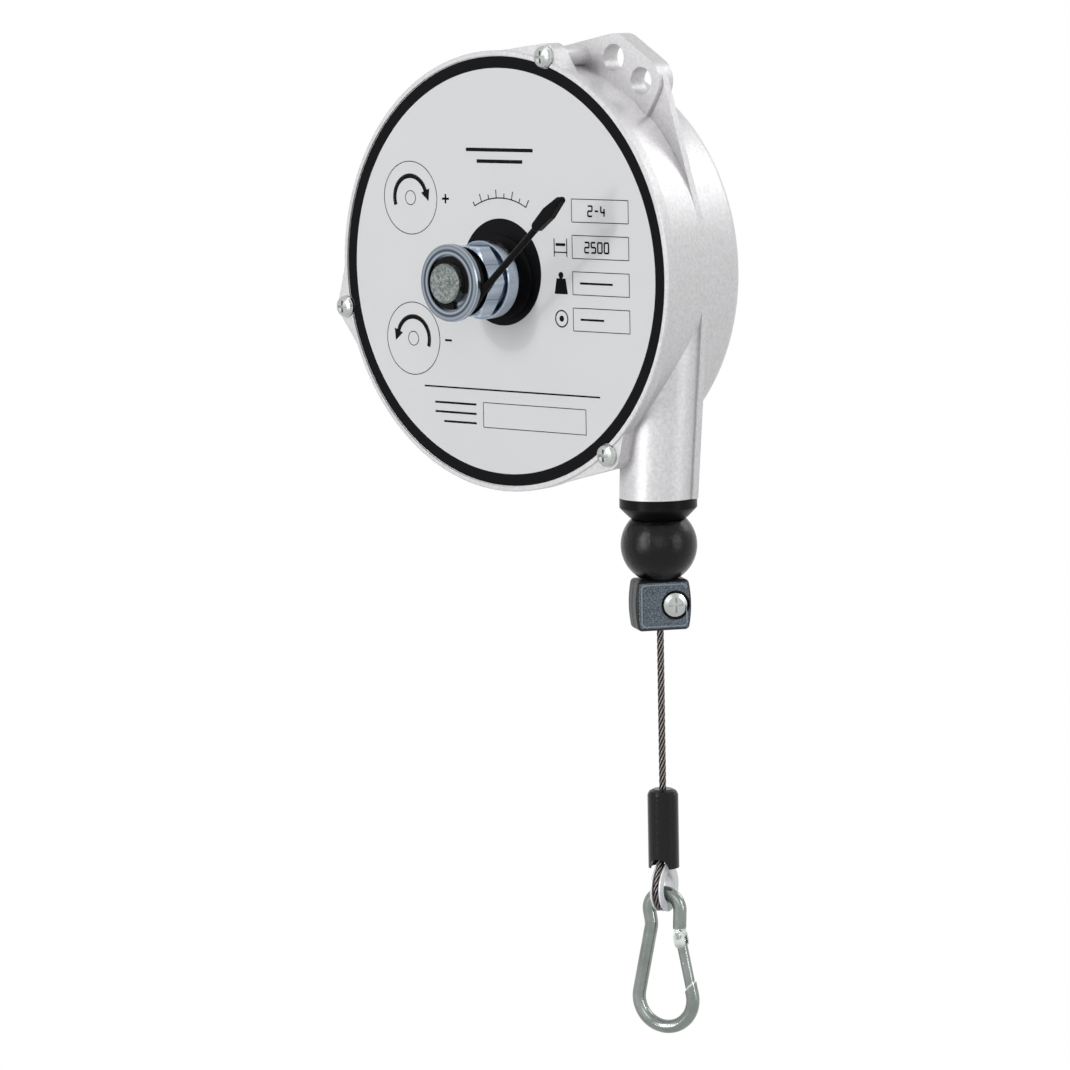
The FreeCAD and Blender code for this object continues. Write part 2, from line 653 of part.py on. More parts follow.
# the hub turns on the axle and carries the inner end of the power spring on its arbor
arbor_end = 38
hub = new_body("adjust_hub")
flat = S.hub_hexagon / 2
hexagon_rear = S.hub_flange_front - 1.6
revolve(hub, "HubTurned", [
    (axle_bore, S.brake_front + 0.2), (S.hub_core_radius, S.brake_front + 0.2),
    (S.hub_core_radius, S.hub_hexagon_front), (flat - 0.8, S.hub_hexagon_front),
    (flat - 0.8, S.hub_flange_front), (S.hub_flange_radius - 0.4, S.hub_flange_front),
    (S.hub_flange_radius, S.hub_flange_front + 0.4), (S.hub_flange_radius, S.hub_back - 0.4),
    (S.hub_flange_radius - 0.4, S.hub_back), (S.arbor_radius, S.hub_back),
    (S.arbor_radius, arbor_end), (axle_bore, arbor_end)])
slab(hub, "Hexagon", S.hub_hexagon_front, hexagon_rear, hexagon(S.hub_hexagon))
drill(hub, "HexagonBore", 0, 0, axle_bore, S.hub_hexagon_front - 1, S.hub_flange_front + 1)
for name, face, inward in (("FrontChamfer", S.hub_hexagon_front, 1),
                           ("RearChamfer", hexagon_rear, -1)):
    revolve(hub, name, [(flat, face), (flat + 3, face + 1.7 * inward),
                        (flat + 3, face - 1 * inward), (flat, face - 1 * inward)], cut=True)

ring = new_body("brake_ring")
revolve(ring, "RingTurned", [
    (S.axle_radius + 0.02, S.brake_front), (S.ring_radius, S.brake_front),
    (S.ring_radius, S.ring_front + 0.6), (S.ring_radius - 0.6, S.ring_front),
    (S.ring_recess, S.ring_front), (S.ring_recess, S.ring_front + 2),
    (S.axle_radius + 0.02, S.ring_front + 2)])

clip = new_body("axle_circlip")
clip_front = S.ring_front + 0.8
clip_rear = S.ring_front + 2
revolve(clip, "ClipRing", [
    (S.axle_radius + 0.02, clip_front), (S.ring_recess - 0.5, clip_front),
    (S.ring_recess - 0.5, clip_rear), (S.axle_radius + 0.02, clip_rear)])
gap = new_sketch(clip, "XZ_Plane", "ClipGapOutline", -(clip_rear + 1))
polygon(gap, [(2, -4), (2, -14), (14, -14), (14, -4)])
extrude(clip, "ClipGap", gap, as_size(4), cut=True, back=True)

# brake spring: a short coil in the groove of the hub whose free end is the lever
coil_y = S.lever_y
wire = new_body("brake_spring")
section = new_sketch(wire, "YZ_Plane", "CoilSection")
circle(section, coil_y, -S.coil_radius, S.wire_radius)
coil = wire.newObject("PartDesign::AdditiveHelix", "Coil")
coil.Profile = section
coil.ReferenceAxis = (section, ["H_Axis"])
coil.Mode = "pitch-turns-angle"
bind(coil, "Pitch", 2 * S.wire_radius + 0.1)
coil.Turns = 1.0
coil.LeftHanded = False
lever_root = (as_size(17.3), as_size(-1.2))
lever_end = on_circle(as_size(50), as_size(41))
lever_path = new_sketch(wire, "XZ_Plane", "LeverPath", -coil_y)
lever_bend = S.coil_radius + 0.65
route(lever_path, (0, -S.coil_radius),
      [(1, lever_bend - S.coil_radius, lever_bend, 1), (20.0, -4.4, 4, -1)],
      (lever_root[0] + lever_end[0], lever_root[1] + lever_end[1]))
lever_section = new_sketch(wire, "YZ_Plane", "LeverSection")
circle(lever_section, coil_y, -S.coil_radius, S.wire_radius)
tube(wire, "Lever", lever_section, lever_path)

grip_start = on_circle(as_size(37), as_size(41))
grip = new_body("lever_grip", (DRUM[0] + lever_root[0] + grip_start[0], DRUM[1] + coil_y,
                               DRUM[2] + lever_root[1] + grip_start[1]), 49, (0, 1, 0))
grip_low, grip_broad, grip_tip = (0, 2.4, as_size(2.1)), (0, 10.5, as_size(2.7)), (0, 18.9, as_size(1.3))
slab(grip, "GripPlate", -2.1, 2.1, [grip_broad, grip_low], draw=belt)
cap = slab(grip, "GripTip", -2.1, 2.1, [grip_tip, grip_broad], draw=belt)
fillet(grip, "GripEdges", cap, 0.7, lambda e: abs(abs(e.CenterOfMass.y) - 2.1) < 0.01)
round_plug(grip, "GripBore", "XY_Plane", -1, 0, 0, S.wire_radius + 0.05, as_size(14.5),
           cut=True, back=True)

# ---------------------------------------------------------------- drum and power spring
TURNS = 6
seat = S.cord_x - S.cord_radius
slope = S.turn_rise / S.turn_pitch
web_front, web_rear = as_size(39), as_size(43)
drum_rear = S.cord_y + (TURNS - 1) * S.turn_pitch + S.cord_radius + 0.6
cone_front = S.cord_y - S.cord_radius - 0.6
drum_front = cone_front - 2.2
chamber_rim = S.spring_chamber + 4
drum_bush = axle_bore + S.bush_wall


def seat_at(y):
    """Radius of the cone under the cord at a depth y."""
    return seat + (y - S.cord_y) * slope


drum = new_body("drum")
revolve(drum, "DrumTurned", [
    (drum_bush, web_front), (S.spring_chamber, web_front), (S.spring_chamber, 14),
    (chamber_rim, 14), (chamber_rim, drum_front),
    (seat_at(cone_front) + S.cord_radius + S.drum_flange, drum_front),
    (seat_at(cone_front) + S.cord_radius + S.drum_flange, cone_front),
    (seat_at(cone_front), cone_front), (seat_at(drum_rear), drum_rear),
    (seat_at(drum_rear) + S.cord_radius + S.drum_flange, drum_rear),
    (seat_at(drum_rear) + S.cord_radius + S.drum_flange, drum_rear + 2),
    (seat_at(drum_rear) - 4, drum_rear + 2), (chamber_rim, web_rear),
    (drum_bush + 6, web_rear), (drum_bush + 6, web_rear + 4), (drum_bush, web_rear + 4)])
cover_screw_ring = S.spring_chamber + 2
lid_places = [on_circle(cover_screw_ring, 45 + 90 * i) for i in range(4)]
for number, (x, z) in enumerate(lid_places, start=1):
    drill(drum, "LidThread%d" % number, x, z, as_size(1.05), 13, 20)

lid_front = as_size(11.5)
lid = new_body("spring_cover")
revolve(lid, "LidTurned", [
    (bush_outer, lid_front), (chamber_rim, lid_front), (chamber_rim, 14), (bush_outer, 14)])
for number, (x, z) in enumerate(lid_places, start=1):
    drill(lid, "LidHole%d" % number, x, z, as_size(1.05), 11, 15)
    pin_screw = new_body("spring_cover_screw_%d" % number,
                         (DRUM[0] + x, DRUM[1], DRUM[2] + z))
    revolve(pin_screw, "LidScrewTurned", [
        (0, lid_front - 1.3), (1.6, lid_front - 1.3), (2.1, lid_front - 0.8),
        (2.1, lid_front), (1, lid_front), (1, 19), (0, 19)])

front_bush = new_body("drum_front_bush")
revolve(front_bush, "FrontBushTurned", [
    (sleeve_bore, 10.8), (bush_outer + 1.5, 10.8), (bush_outer + 1.5, lid_front),
    (bush_outer, lid_front), (bush_outer, 14.6), (sleeve_bore, 14.6)])
rear_bush = new_body("drum_rear_bush")
revolve(rear_bush, "RearBushTurned", [
    (axle_bore, web_front - 0.4), (drum_bush, web_front - 0.4), (drum_bush, web_rear + 4),
    (axle_bore, web_rear + 4)])

# power spring: half turns drawn about two centres, so the strip keeps its thickness
spring = new_body("power_spring")
spring_rear = web_front - 1
spiral = new_sketch(spring, "XZ_Plane", "SpringStrip", -spring_rear)
halves = 2 * 6
half_step = (S.spring_chamber - 0.02 - S.spring_strip - S.spring_inner) / halves
inner_ends, outer_ends = [], []
for layer, ends in ((0, inner_ends), (S.spring_strip, outer_ends)):
    for half in range(halves):
        r = S.spring_inner + layer + half_step * half
        centre_x = as_size(0) if half % 2 == 0 else half_step
        first = 0 if half % 2 == 0 else math.pi
        hub_point = FreeCAD.Vector(num(centre_x), 0, 0)
        bend = Part.Circle(hub_point, FreeCAD.Vector(0, 0, 1), num(r))
        element = spiral.addGeometry(Part.ArcOfCircle(bend, first, first + math.pi), False)
        ends.append(element)
        pin(spiral, element, 3, centre_x, 0)
        if half:
            spiral.addConstraint(Sketcher.Constraint("Coincident", ends[-2], 2, element, 1))
        else:
            radius(spiral, element, r)
            spiral.addConstraint(Sketcher.Constraint("PointOnObject", element, 1, -1))
        spiral.addConstraint(Sketcher.Constraint("PointOnObject", element, 2, -1))
for point, which in ((1, 0), (2, -1)):
    pair = (inner_ends[which], outer_ends[which])
    corners = [spiral.getPoint(element, point) for element in pair]
    side = spiral.addGeometry(Part.LineSegment(*corners), False)
    spiral.addConstraint(Sketcher.Constraint("Coincident", side, 1, pair[0], point))
    spiral.addConstraint(Sketcher.Constraint("Coincident", side, 2, pair[1], point))
extrude(spring, "SpringPad", spiral, S.spring_width)

# stored cord: one ring with a crest for each turn, lying on the cone
winding = new_body("rope_winding")
crests = [(seat_at(S.cord_y - 1.6), S.cord_y - 1.6)]
lean = math.degrees(math.atan(num(slope)))
for turn_number in range(TURNS):
    y = S.cord_y + turn_number * S.turn_pitch
    r = S.cord_x + turn_number * S.turn_rise
    for spoke in (-60, 0, 60):
        crests.append((r + S.cord_radius * cosd(spoke - lean),
                       y + S.cord_radius * sind(spoke - lean)))
crests.append((seat_at(drum_rear - 0.5), drum_rear - 0.5))
revolve(winding, "WindingTurned", crests)

anchor = new_body("rope_anchor")
round_plug(anchor, "AnchorPin", "XZ_Plane", -(web_rear + 3.5), 50, 0, as_size(3.5), as_size(3.5))

# ---------------------------------------------------------------- cord line
guide = new_body("rope_guide", CORD)
guide_low = S.spout_bottom - S.guide_flange
nose_low = guide_low - S.guide_nose
plug = S.spout_radius - S.spout_wall - 0.6
cup = S.ball_radius + S.free_gap
lip = S.guide_nose_radius - 0.5
revolve(guide, "GuideTurned", [
    (S.guide_hole + 0.8, S.spout_bottom + S.guide_plug), (plug, S.spout_bottom + S.guide_plug),
    (plug, S.spout_bottom), (S.spout_radius, S.spout_bottom),
    (S.spout_radius, guide_low + 0.9), (S.spout_radius - 0.8, guide_low),
    (S.guide_nose_radius, nose_low + 0.3), (lip, S.ball_z + root(cup * cup - lip * lip)),
    Arc(0, S.ball_z, 1), (S.guide_hole, None),
    (S.guide_hole, S.spout_bottom + S.guide_plug - 1)], plane="XZ_Plane")

ball = new_body("stop_ball", CORD)
flat_radius = root(S.ball_radius * S.ball_radius - S.ball_flat_drop * S.ball_flat_drop)
revolve(ball, "BallTurned", [
    (S.cord_radius + 0.2, S.ball_flat), (flat_radius, S.ball_flat), Arc(0, S.ball_z, 1),
    (S.cord_radius + 0.2, None)], plane="XZ_Plane")

# clamp: two plates gripping the cord, closed by one screw with its nut behind
half_w, half_d = S.clamp_width / 2, S.clamp_depth / 2
clamp_low = S.clamp_top - S.clamp_height
clamp_mid = S.clamp_top - S.clamp_height / 2
barrel = as_size(48)
corner_x = half_w - 1.2
recess_floor = -half_d + 2
for label_text, front, rear in (("clamp_front", -half_d, as_size(-0.25)),
                                ("clamp_rear", as_size(0.25), half_d)):
    half = new_body(label_text, CORD, S.clamp_turn)
    outline = [(-corner_x, clamp_low), (corner_x, clamp_low),
               Arc(half_w - barrel, clamp_mid, 1), (None, S.clamp_top),
               (None, S.clamp_top, -num(corner_x)), Arc(barrel - half_w, clamp_mid)]
    plate = slab(half, "Plate", front, rear, outline)
    plate = fillet(half, "PlateCorners", plate, 2.0,
                   lambda e: abs(e.Vertexes[0].Y - e.Vertexes[-1].Y) > 3)
    face = num(front) if label_text == "clamp_front" else num(rear)
    fillet(half, "PlateEdges", plate, 1.6, lambda e: abs(e.CenterOfMass.y - face) < 0.01)
    round_plug(half, "CordGroove", "XY_Plane", S.clamp_top + 1, 0, 0, S.cord_radius,
               S.clamp_height + 2, cut=True)
    drill(half, "ScrewHole", S.clamp_screw_offset, clamp_mid, S.screw_radius + 0.1,
          -half_d - 1, half_d + 1)
    if label_text == "clamp_front":
        drill(half, "HeadRecess", S.clamp_screw_offset, clamp_mid, S.clamp_recess,
              -half_d - 1, recess_floor)
    else:
        drill(half, "NutRecess", S.clamp_screw_offset, clamp_mid, as_size(5.2),
              half_d - 2, half_d + 1)

screw_place = (CORD[0] + S.clamp_screw_offset * cosd(S.clamp_turn),
               CORD[1] + S.clamp_screw_offset * sind(S.clamp_turn), CORD[2] + clamp_mid)
screw = new_body("clamp_screw", screw_place, S.clamp_turn)
head = S.clamp_screw_radius
revolve(screw, "ClampScrewTurned", [
    (0, recess_floor - 2.6), (head * 0.6, recess_floor - 2.4), (head * 0.9, recess_floor - 1.8),
    (head, recess_floor - 0.9), (head, recess_floor), (S.screw_radius, recess_floor),
    (S.screw_radius, half_d + 3), (0, half_d + 3)])
for side, (wide, high) in enumerate(((head * 1.15, 1.2), (1.2, head * 1.15)), start=1):
    cross = new_sketch(screw, "XZ_Plane", "ClampCross%d" % side, -(recess_floor - 1.2))
    w, h = as_size(wide) / 2, as_size(high) / 2
    polygon(cross, [(-w, -h), (w, -h), (w, h), (-w, h)])
    extrude(screw, "ClampCrossCut%d" % side, cross, as_size(2), cut=True, back=True)
nut = new_body("clamp_nut", screw_place, S.clamp_turn)
slab(nut, "ClampNutHexagon", half_d - 2, half_d + 2, hexagon(as_size(8)))
drill(nut, "ClampNutBore", 0, 0, S.screw_radius, half_d - 3, half_d + 3)

# cord: straight down to the sleeve, round the eye and back up beside itself
fork_z = S.sleeve_bottom + 9.5
fork_bend = as_size(6)
tail_x = 2 * S.cord_radius + 0.2
cord_top = -(S.case_rise + 21)
cord = new_body("rope", CORD, S.eye_turn)
cord_path = new_sketch(cord, "XZ_Plane", "CordPath")
route(cord_path, (0, cord_top), [(-fork_bend, fork_z, fork_bend, -1),
                                 (0, S.eye_z, S.eye_radius, 1),
                                 (tail_x + fork_bend, fork_z, fork_bend, -1)],
      (tail_x, S.sleeve_top - 7.2))
cord_section = new_sketch(cord, "XY_Plane", "CordSection", cord_top)
circle(cord_section, 0, 0, S.cord_radius)
tube(cord, "CordTube", cord_section, cord_path)

sleeve_inner = tail_x + S.cord_radius + S.sleeve_slack
sleeve_radius = sleeve_inner + S.sleeve_wall
sleeve = new_body("rope_sleeve", CORD, S.eye_turn)
revolve(sleeve, "SleeveTurned", [
    (S.cord_radius + 0.05, S.sleeve_top), (sleeve_radius - 2.4, S.sleeve_top),
    (sleeve_radius - 0.8, S.sleeve_top - 0.8), (sleeve_radius, S.sleeve_top - 2.4),
    (sleeve_radius, S.sleeve_bottom), (sleeve_inner, S.sleeve_bottom),
    (sleeve_inner, S.sleeve_top - 3.2), (S.cord_radius + 0.05, S.sleeve_top - 3.2)],
    plane="XZ_Plane")
round_plug(sleeve, "SleeveArch", "YZ_Plane", -20, 0, S.sleeve_bottom, as_size(4.2),
           as_size(20), cut=True, back=True)
tail_arch = new_sketch(sleeve, "YZ_Plane", "TailArchOutline")
belt(tail_arch, [(0, S.sleeve_bottom - 3, as_size(3.6)), (0, S.sleeve_bottom + 5, as_size(2.6))])
extrude(sleeve, "TailArch", tail_arch, as_size(20), cut=True, back=True)
ferrule = new_body("rope_ferrule", CORD, S.eye_turn)
round_plug(ferrule, "FerruleBody", "XY_Plane", S.sleeve_top - 7.2, 0, 0, sleeve_inner - 0.02,
           as_size(15), back=True)
for number, x in enumerate((as_size(0), tail_x), start=1):
    round_plug(ferrule, "FerruleHole%d" % number, "XY_Plane", S.sleeve_top - 6, x, 0,
               S.cord_radius, as_size(18), cut=True)

# thimble: a grooved eye with a pointed top
groove = S.eye_radius - S.cord_radius - 0.05
eye = groove - S.thimble_wall + 0.15
side_y = S.cord_radius + 0.05
thimble = new_body("thimble", CORD, S.eye_turn)
core_tip = S.eye_z + 9.3
slab(thimble, "EyeCore", -side_y, side_y, [(0, S.eye_z, groove), (0, core_tip, as_size(0.6))],
     draw=belt)
for name, front, rear in (("EyeFront", -side_y - 0.75, -side_y), ("EyeBack", side_y, side_y + 0.75)):
    slab(thimble, name, front, rear,
         [(0, S.eye_z, groove + 2.95), (0, S.eye_z + 11.2, as_size(1.2))], draw=belt)
opening = new_sketch(thimble, "XZ_Plane", "EyeOpeningOutline", as_size(-5))
belt(opening, [(0, S.eye_z, eye), (0, S.eye_z + 6.6, as_size(0.6))])
opened = extrude(thimble, "EyeOpening", opening, as_size(10), cut=True, back=True)
edge_y, reach = side_y.number + 0.75, eye.number + 0.01
fillet(thimble, "EyeEdges", opened, 1.0,
       lambda e: abs(abs(e.CenterOfMass.y) - edge_y) < 0.01 and
       e.BoundBox.XMax < reach and -reach < e.BoundBox.XMin and
       e.BoundBox.ZMax < S.eye_z.number + 8)

# ---------------------------------------------------------------- snap hook
hook_top = S.eye_z - eye + 2 * S.hook_rod + S.hang_gap
HOOK = (CORD[0], CORD[1], CORD[2] + hook_top)
hook_turn = S.eye_turn - 90
loop_z = -(S.hook_rod + S.hook_loop)
pivot = (as_size(6.9), as_size(-20.5))
hook = new_body("hook_body", HOOK, hook_turn)
neck_end = (as_size(6.7), as_size(-17.7))
hook_section = new_sketch(hook, "XY_Plane", "HookSection", neck_end[1])
circle(hook_section, neck_end[0], 0, S.hook_rod)
hook_path = new_sketch(hook, "XZ_Plane", "HookPath")
route(hook_path, neck_end, [
    (0, loop_z, S.hook_loop, 1), (-S.hook_neck - 8, loop_z - 6.5, 8, -1),
    (0, -S.hook_bend_drop, S.hook_bend, 1)], (10.64, -38.8))
tube(hook, "HookRod", hook_section, hook_path)
slab(hook, "Tongue", -1.2, 1.2, [(6.6, -15.5, as_size(2.4)), (pivot[0], pivot[1], as_size(2.2))],
     draw=belt)
drill(hook, "TongueHole", pivot[0], pivot[1], as_size(1.05), -3, 3)
# the nose is cut aslant, higher on the outside
nose = new_sketch(hook, "XZ_Plane", "NoseCutOutline", -6)
polygon(nose, [(5.5, -48.2), (16.5, -37.2), (10, -33), (5.5, -36)])
extrude(hook, "NoseCut", nose, as_size(12), cut=True, back=True)

gate = new_body("hook_gate", HOOK, hook_turn)
slab(gate, "GateHead", -2.45, 2.45, [
    (7.55, -23.6, as_size(2.35)), (pivot[0], pivot[1], as_size(2.4))], draw=belt)
gate_section = new_sketch(gate, "XY_Plane", "GateSection", as_size(-22.5))
circle(gate_section, 7.32, 0, S.gate_rod)
gate_path = new_sketch(gate, "XZ_Plane", "GatePath")
route(gate_path, (7.32, -22.5), [], (12.0, -45.4))
tube(gate, "GateRod", gate_section, gate_path)
slot = new_sketch(gate, "XZ_Plane", "GateSlotOutline", as_size(-1.35))
polygon(slot, [(0, -16), (14, -16), (14, -23.9), (0, -23.9)])
extrude(gate, "GateSlot", slot, as_size(2.7), cut=True, back=True)
drill(gate, "GateHole", pivot[0], pivot[1], as_size(1.05), -4, 4)
end_cut = new_sketch(gate, "XZ_Plane", "GateEndOutline", -6)
polygon(end_cut, [(5.5, -47.6), (16.5, -36.6), (20, -50), (8, -56)])
extrude(gate, "GateEnd", end_cut, as_size(12), cut=True, back=True)

gate_pin = new_body("gate_pin", (HOOK[0] + pivot[0] * cosd(hook_turn),
                                 HOOK[1] + pivot[0] * sind(hook_turn), HOOK[2] + pivot[1]),
                    hook_turn)
revolve(gate_pin, "PinTurned", [
    (0, -2.95), (1.2, -2.95), (1.5, -2.75), (1.5, -2.5), (1, -2.5), (1, 2.5), (1.5, 2.5),
    (1.5, 2.75), (1.2, 2.95), (0, 2.95)])

# ---------------------------------------------------------------- write the pieces
doc.recompute()
for obj in doc.Objects:
    bad = [state for state in obj.State if state in ("Invalid", "Error")]
    assert not bad, "%s: %s" % (obj.Name, bad)
os.makedirs("parts", exist_ok=True)
for piece in pieces:
    shape = piece.Shape
    assert not shape.isNull() and shape.isValid(), piece.Label
    shape.exportStep("parts/%s.step" % piece.Label)
    print(piece.Label, "solids", len(shape.Solids), "volume %.0f" % shape.Volume)
print("arcs of the cord line, radii: %.1f, %.1f, %.1f"
      % (num(fork_bend), num(S.eye_radius), num(fork_bend)))
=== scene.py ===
"""Looks of the spring tool balancer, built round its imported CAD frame.

Lengths are in metres, apart from those that a comment gives in mm.
"""
import math

import bmesh
import bpy
from mathutils import Matrix, Vector


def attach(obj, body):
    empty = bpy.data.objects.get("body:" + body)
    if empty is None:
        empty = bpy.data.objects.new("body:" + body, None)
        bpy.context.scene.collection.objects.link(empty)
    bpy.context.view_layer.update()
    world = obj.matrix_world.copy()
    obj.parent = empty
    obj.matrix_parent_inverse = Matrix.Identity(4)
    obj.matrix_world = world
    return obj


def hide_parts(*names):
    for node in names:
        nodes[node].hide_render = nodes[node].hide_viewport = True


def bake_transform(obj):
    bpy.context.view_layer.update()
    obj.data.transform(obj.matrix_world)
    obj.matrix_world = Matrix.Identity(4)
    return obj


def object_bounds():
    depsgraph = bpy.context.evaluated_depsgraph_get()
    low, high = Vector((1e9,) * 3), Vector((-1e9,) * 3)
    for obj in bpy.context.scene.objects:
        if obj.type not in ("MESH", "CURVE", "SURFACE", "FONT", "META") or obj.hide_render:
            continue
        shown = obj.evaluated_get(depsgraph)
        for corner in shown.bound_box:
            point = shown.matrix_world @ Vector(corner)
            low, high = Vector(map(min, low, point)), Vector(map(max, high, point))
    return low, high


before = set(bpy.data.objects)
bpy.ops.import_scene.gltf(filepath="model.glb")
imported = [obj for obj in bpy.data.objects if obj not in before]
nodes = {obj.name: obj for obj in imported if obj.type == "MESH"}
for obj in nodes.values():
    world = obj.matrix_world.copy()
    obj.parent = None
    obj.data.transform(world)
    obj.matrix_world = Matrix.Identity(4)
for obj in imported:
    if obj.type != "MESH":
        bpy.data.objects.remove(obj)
cad_low, cad_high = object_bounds()
MM = 0.001

# places in the frame of the part
AXIS = Vector((-43.3, -28.4, -88.7)) * MM  # middle of the label, and of the round case
HUB = AXIS - Vector((0, 0, 2.5)) * MM  # axis of the drum and the hub
CORD = Vector((20.7, -4.4, -88.7)) * MM  # line of the cord, level with the middle of the label
CLAMP = CORD - Vector((0, 0, 137.7)) * MM  # middle of the clamp
CLAMP_TURN = math.radians(56)
CLAMP_ALONG = Vector((math.cos(CLAMP_TURN), math.sin(CLAMP_TURN), 0))
CLAMP_OUT = Vector((math.sin(CLAMP_TURN), -math.cos(CLAMP_TURN), 0))
UP = Vector((0, 0, 1))

# sizes of the clamp, of the bands printed on the label and of the cord
CLAMP_HALF_WIDTH, CLAMP_HALF_HEIGHT, CLAMP_HALF_DEPTH = 12 * MM, 10.6 * MM, 7 * MM
RING_INSIDE, SPOT_RADIUS, BAND_BLUR = 85 * MM, 22.4 * MM, 0.1 * MM
CORD_TRAVEL = 2.5


# ---------------------------------------------------------------- node helpers
class Material:
    """A Principled material with short calls for the nodes that give it its detail.

    The colour and the roughness it starts with are plain averages, and most materials link
    nodes over them.  Scales of noise are per metre, and heights of relief are in metres.
    """

    def __init__(self, name, colour, rough, metal=0.0, **sockets):
        self.data = bpy.data.materials.new(name)
        self.data.use_nodes = True
        self.tree = self.data.node_tree
        self.shader = self.tree.nodes["Principled BSDF"]
        self.set("Base Color", (*colour, 1))
        self.set("Roughness", rough)
        self.set("Metallic", metal)
        for key, value in sockets.items():
            self.set(key.replace("_", " "), value)
        coordinates = self.tree.nodes.new("ShaderNodeTexCoord")
        self.place = coordinates.outputs["Object"]
        self.normal = None

    def set(self, socket, value):
        self.shader.inputs[socket].default_value = value

    def link(self, source, target):
        self.tree.links.new(source, target)

    def colour(self, source):
        self.link(source, self.shader.inputs["Base Color"])

    def rough(self, source):
        self.link(source, self.shader.inputs["Roughness"])

    def scaled(self, stretch):
        """The object's coordinates stretched along each axis."""
        node = self.tree.nodes.new("ShaderNodeMapping")
        node.inputs["Scale"].default_value = stretch
        self.link(self.place, node.inputs["Vector"])
        return node.outputs["Vector"]

    def noise(self, scale, detail=3.0, rough=0.55, where=None):
        """Clouds from 0 to 1; more detail and more roughness make them finer and harder."""
        node = self.tree.nodes.new("ShaderNodeTexNoise")
        node.inputs["Scale"].default_value = scale
        node.inputs["Detail"].default_value = detail
        node.inputs["Roughness"].default_value = rough
        self.link(where or self.place, node.inputs["Vector"])
        return node.outputs["Fac"]

    def cells(self, scale):
        """Distance from the middle of small irregular cells."""
        node = self.tree.nodes.new("ShaderNodeTexVoronoi")
        node.inputs["Scale"].default_value = scale
        self.link(self.place, node.inputs["Vector"])
        return node.outputs["Distance"]

    def range(self, factor, low, high, start=0.0, stop=1.0):
        """Takes start..stop of a factor to low..high, and no further."""
        node = self.tree.nodes.new("ShaderNodeMapRange")
        node.inputs["From Min"].default_value = start
        node.inputs["From Max"].default_value = stop
        node.inputs["To Min"].default_value = low
        node.inputs["To Max"].default_value = high
        self.link(factor, node.inputs["Value"])
        return node.outputs["Result"]

    def math(self, kind, a, b):
        node = self.tree.nodes.new("ShaderNodeMath")
        node.operation = kind
        for socket, value in zip(node.inputs, (a, b)):
            if isinstance(value, (int, float)):
                socket.default_value = value
            else:
                self.link(value, socket)
        return node.outputs["Value"]

    def mix(self, factor, a, b):
        """Colour a where the factor is 0 and b where it is 1."""
        node = self.tree.nodes.new("ShaderNodeMix")
        node.data_type = "RGBA"
        self.link(factor, node.inputs["Factor"])
        for socket, value in zip((s for s in node.inputs if s.type == "RGBA"), (a, b)):
            if isinstance(value, tuple):
                socket.default_value = (*value, 1)
            else:
                self.link(value, socket)
        return next(s for s in node.outputs if s.type == "RGBA")

    def bump(self, height, distance, strength):
        """Adds to the bumps already there; distance is the height of the relief."""
        node = self.tree.nodes.new("ShaderNodeBump")
        node.inputs["Strength"].default_value = strength
        node.inputs["Distance"].default_value = distance
        self.link(height, node.inputs["Height"])
        if self.normal is not None:
            self.link(self.normal, node.inputs["Normal"])
        self.normal = node.outputs["Normal"]
        self.link(self.normal, self.shader.inputs["Normal"])

    def axis(self, name):
        """One coordinate of the place: X, Y or Z."""
        split = self.tree.nodes.new("ShaderNodeSeparateXYZ")
        self.link(self.place, split.inputs[0])
        return split.outputs[name]

    def radius(self, centre, axes="XZ"):
        """Distance from a point in the plane of two axes."""
        squares = []
        for name in axes:
            offset = self.math("SUBTRACT", self.axis(name), getattr(centre, name.lower()))
            squares.append(self.math("MULTIPLY", offset, offset))
        return self.math("SQRT", self.math("ADD", *squares), 0.0)

    def turning(self, centre, fine):
        """Coordinates for marks that run round an axis along Y: distance from it and depth."""
        join = self.tree.nodes.new("ShaderNodeCombineXYZ")
        self.link(self.math("MULTIPLY", self.radius(centre), fine), join.inputs["X"])
        self.link(self.math("MULTIPLY", self.axis("Y"), fine), join.inputs["Y"])
        return join.outputs["Vector"]

    def share(self, centre, direction, half):
        """0 in the middle of a plate and 1 at its edge, half its size away in a direction."""
        node = self.tree.nodes.new("ShaderNodeVectorMath")
        node.operation = "DOT_PRODUCT"
        self.link(self.place, node.inputs[0])
        node.inputs[1].default_value = direction
        offset = self.math("SUBTRACT", node.outputs["Value"], direction.dot(centre))
        return self.math("MULTIPLY", self.math("ABSOLUTE", offset, 0.0), 1 / half)


def wear(material, base, worn, scale):
    """Base colour with a little cloudiness, lighter on exposed edges."""
    edge = material.tree.nodes.new("ShaderNodeNewGeometry").outputs["Pointiness"]
    edge = material.range(edge, 0.0, 1.0, 0.52, 0.6)
    cloud = material.range(material.noise(scale, 4.0), 0.0, 0.22, 0.35, 0.75)
    material.colour(material.mix(material.math("MAXIMUM", edge, cloud), base, worn))


def seen_directly(tree):
    """1 for camera, glossy and transmission rays, 0 for the rays that light a surface."""
    rays = tree.nodes.new("ShaderNodeLightPath")
    total = rays.outputs["Is Camera Ray"]
    for kind in ("Is Glossy Ray", "Is Transmission Ray"):
        both = tree.nodes.new("ShaderNodeMath")
        both.operation = "MAXIMUM"
        tree.links.new(total, both.inputs[0])
        tree.links.new(rays.outputs[kind], both.inputs[1])
        total = both.outputs[0]
    return total


def add_object(name, mesh, material):
    """Object of the scene from a bmesh, which is freed."""
    data = bpy.data.meshes.new(name)
    mesh.to_mesh(data)
    mesh.free()
    data.materials.append(material.data)
    piece = bpy.data.objects.new(name, data)
    bpy.context.scene.collection.objects.link(piece)
    return piece


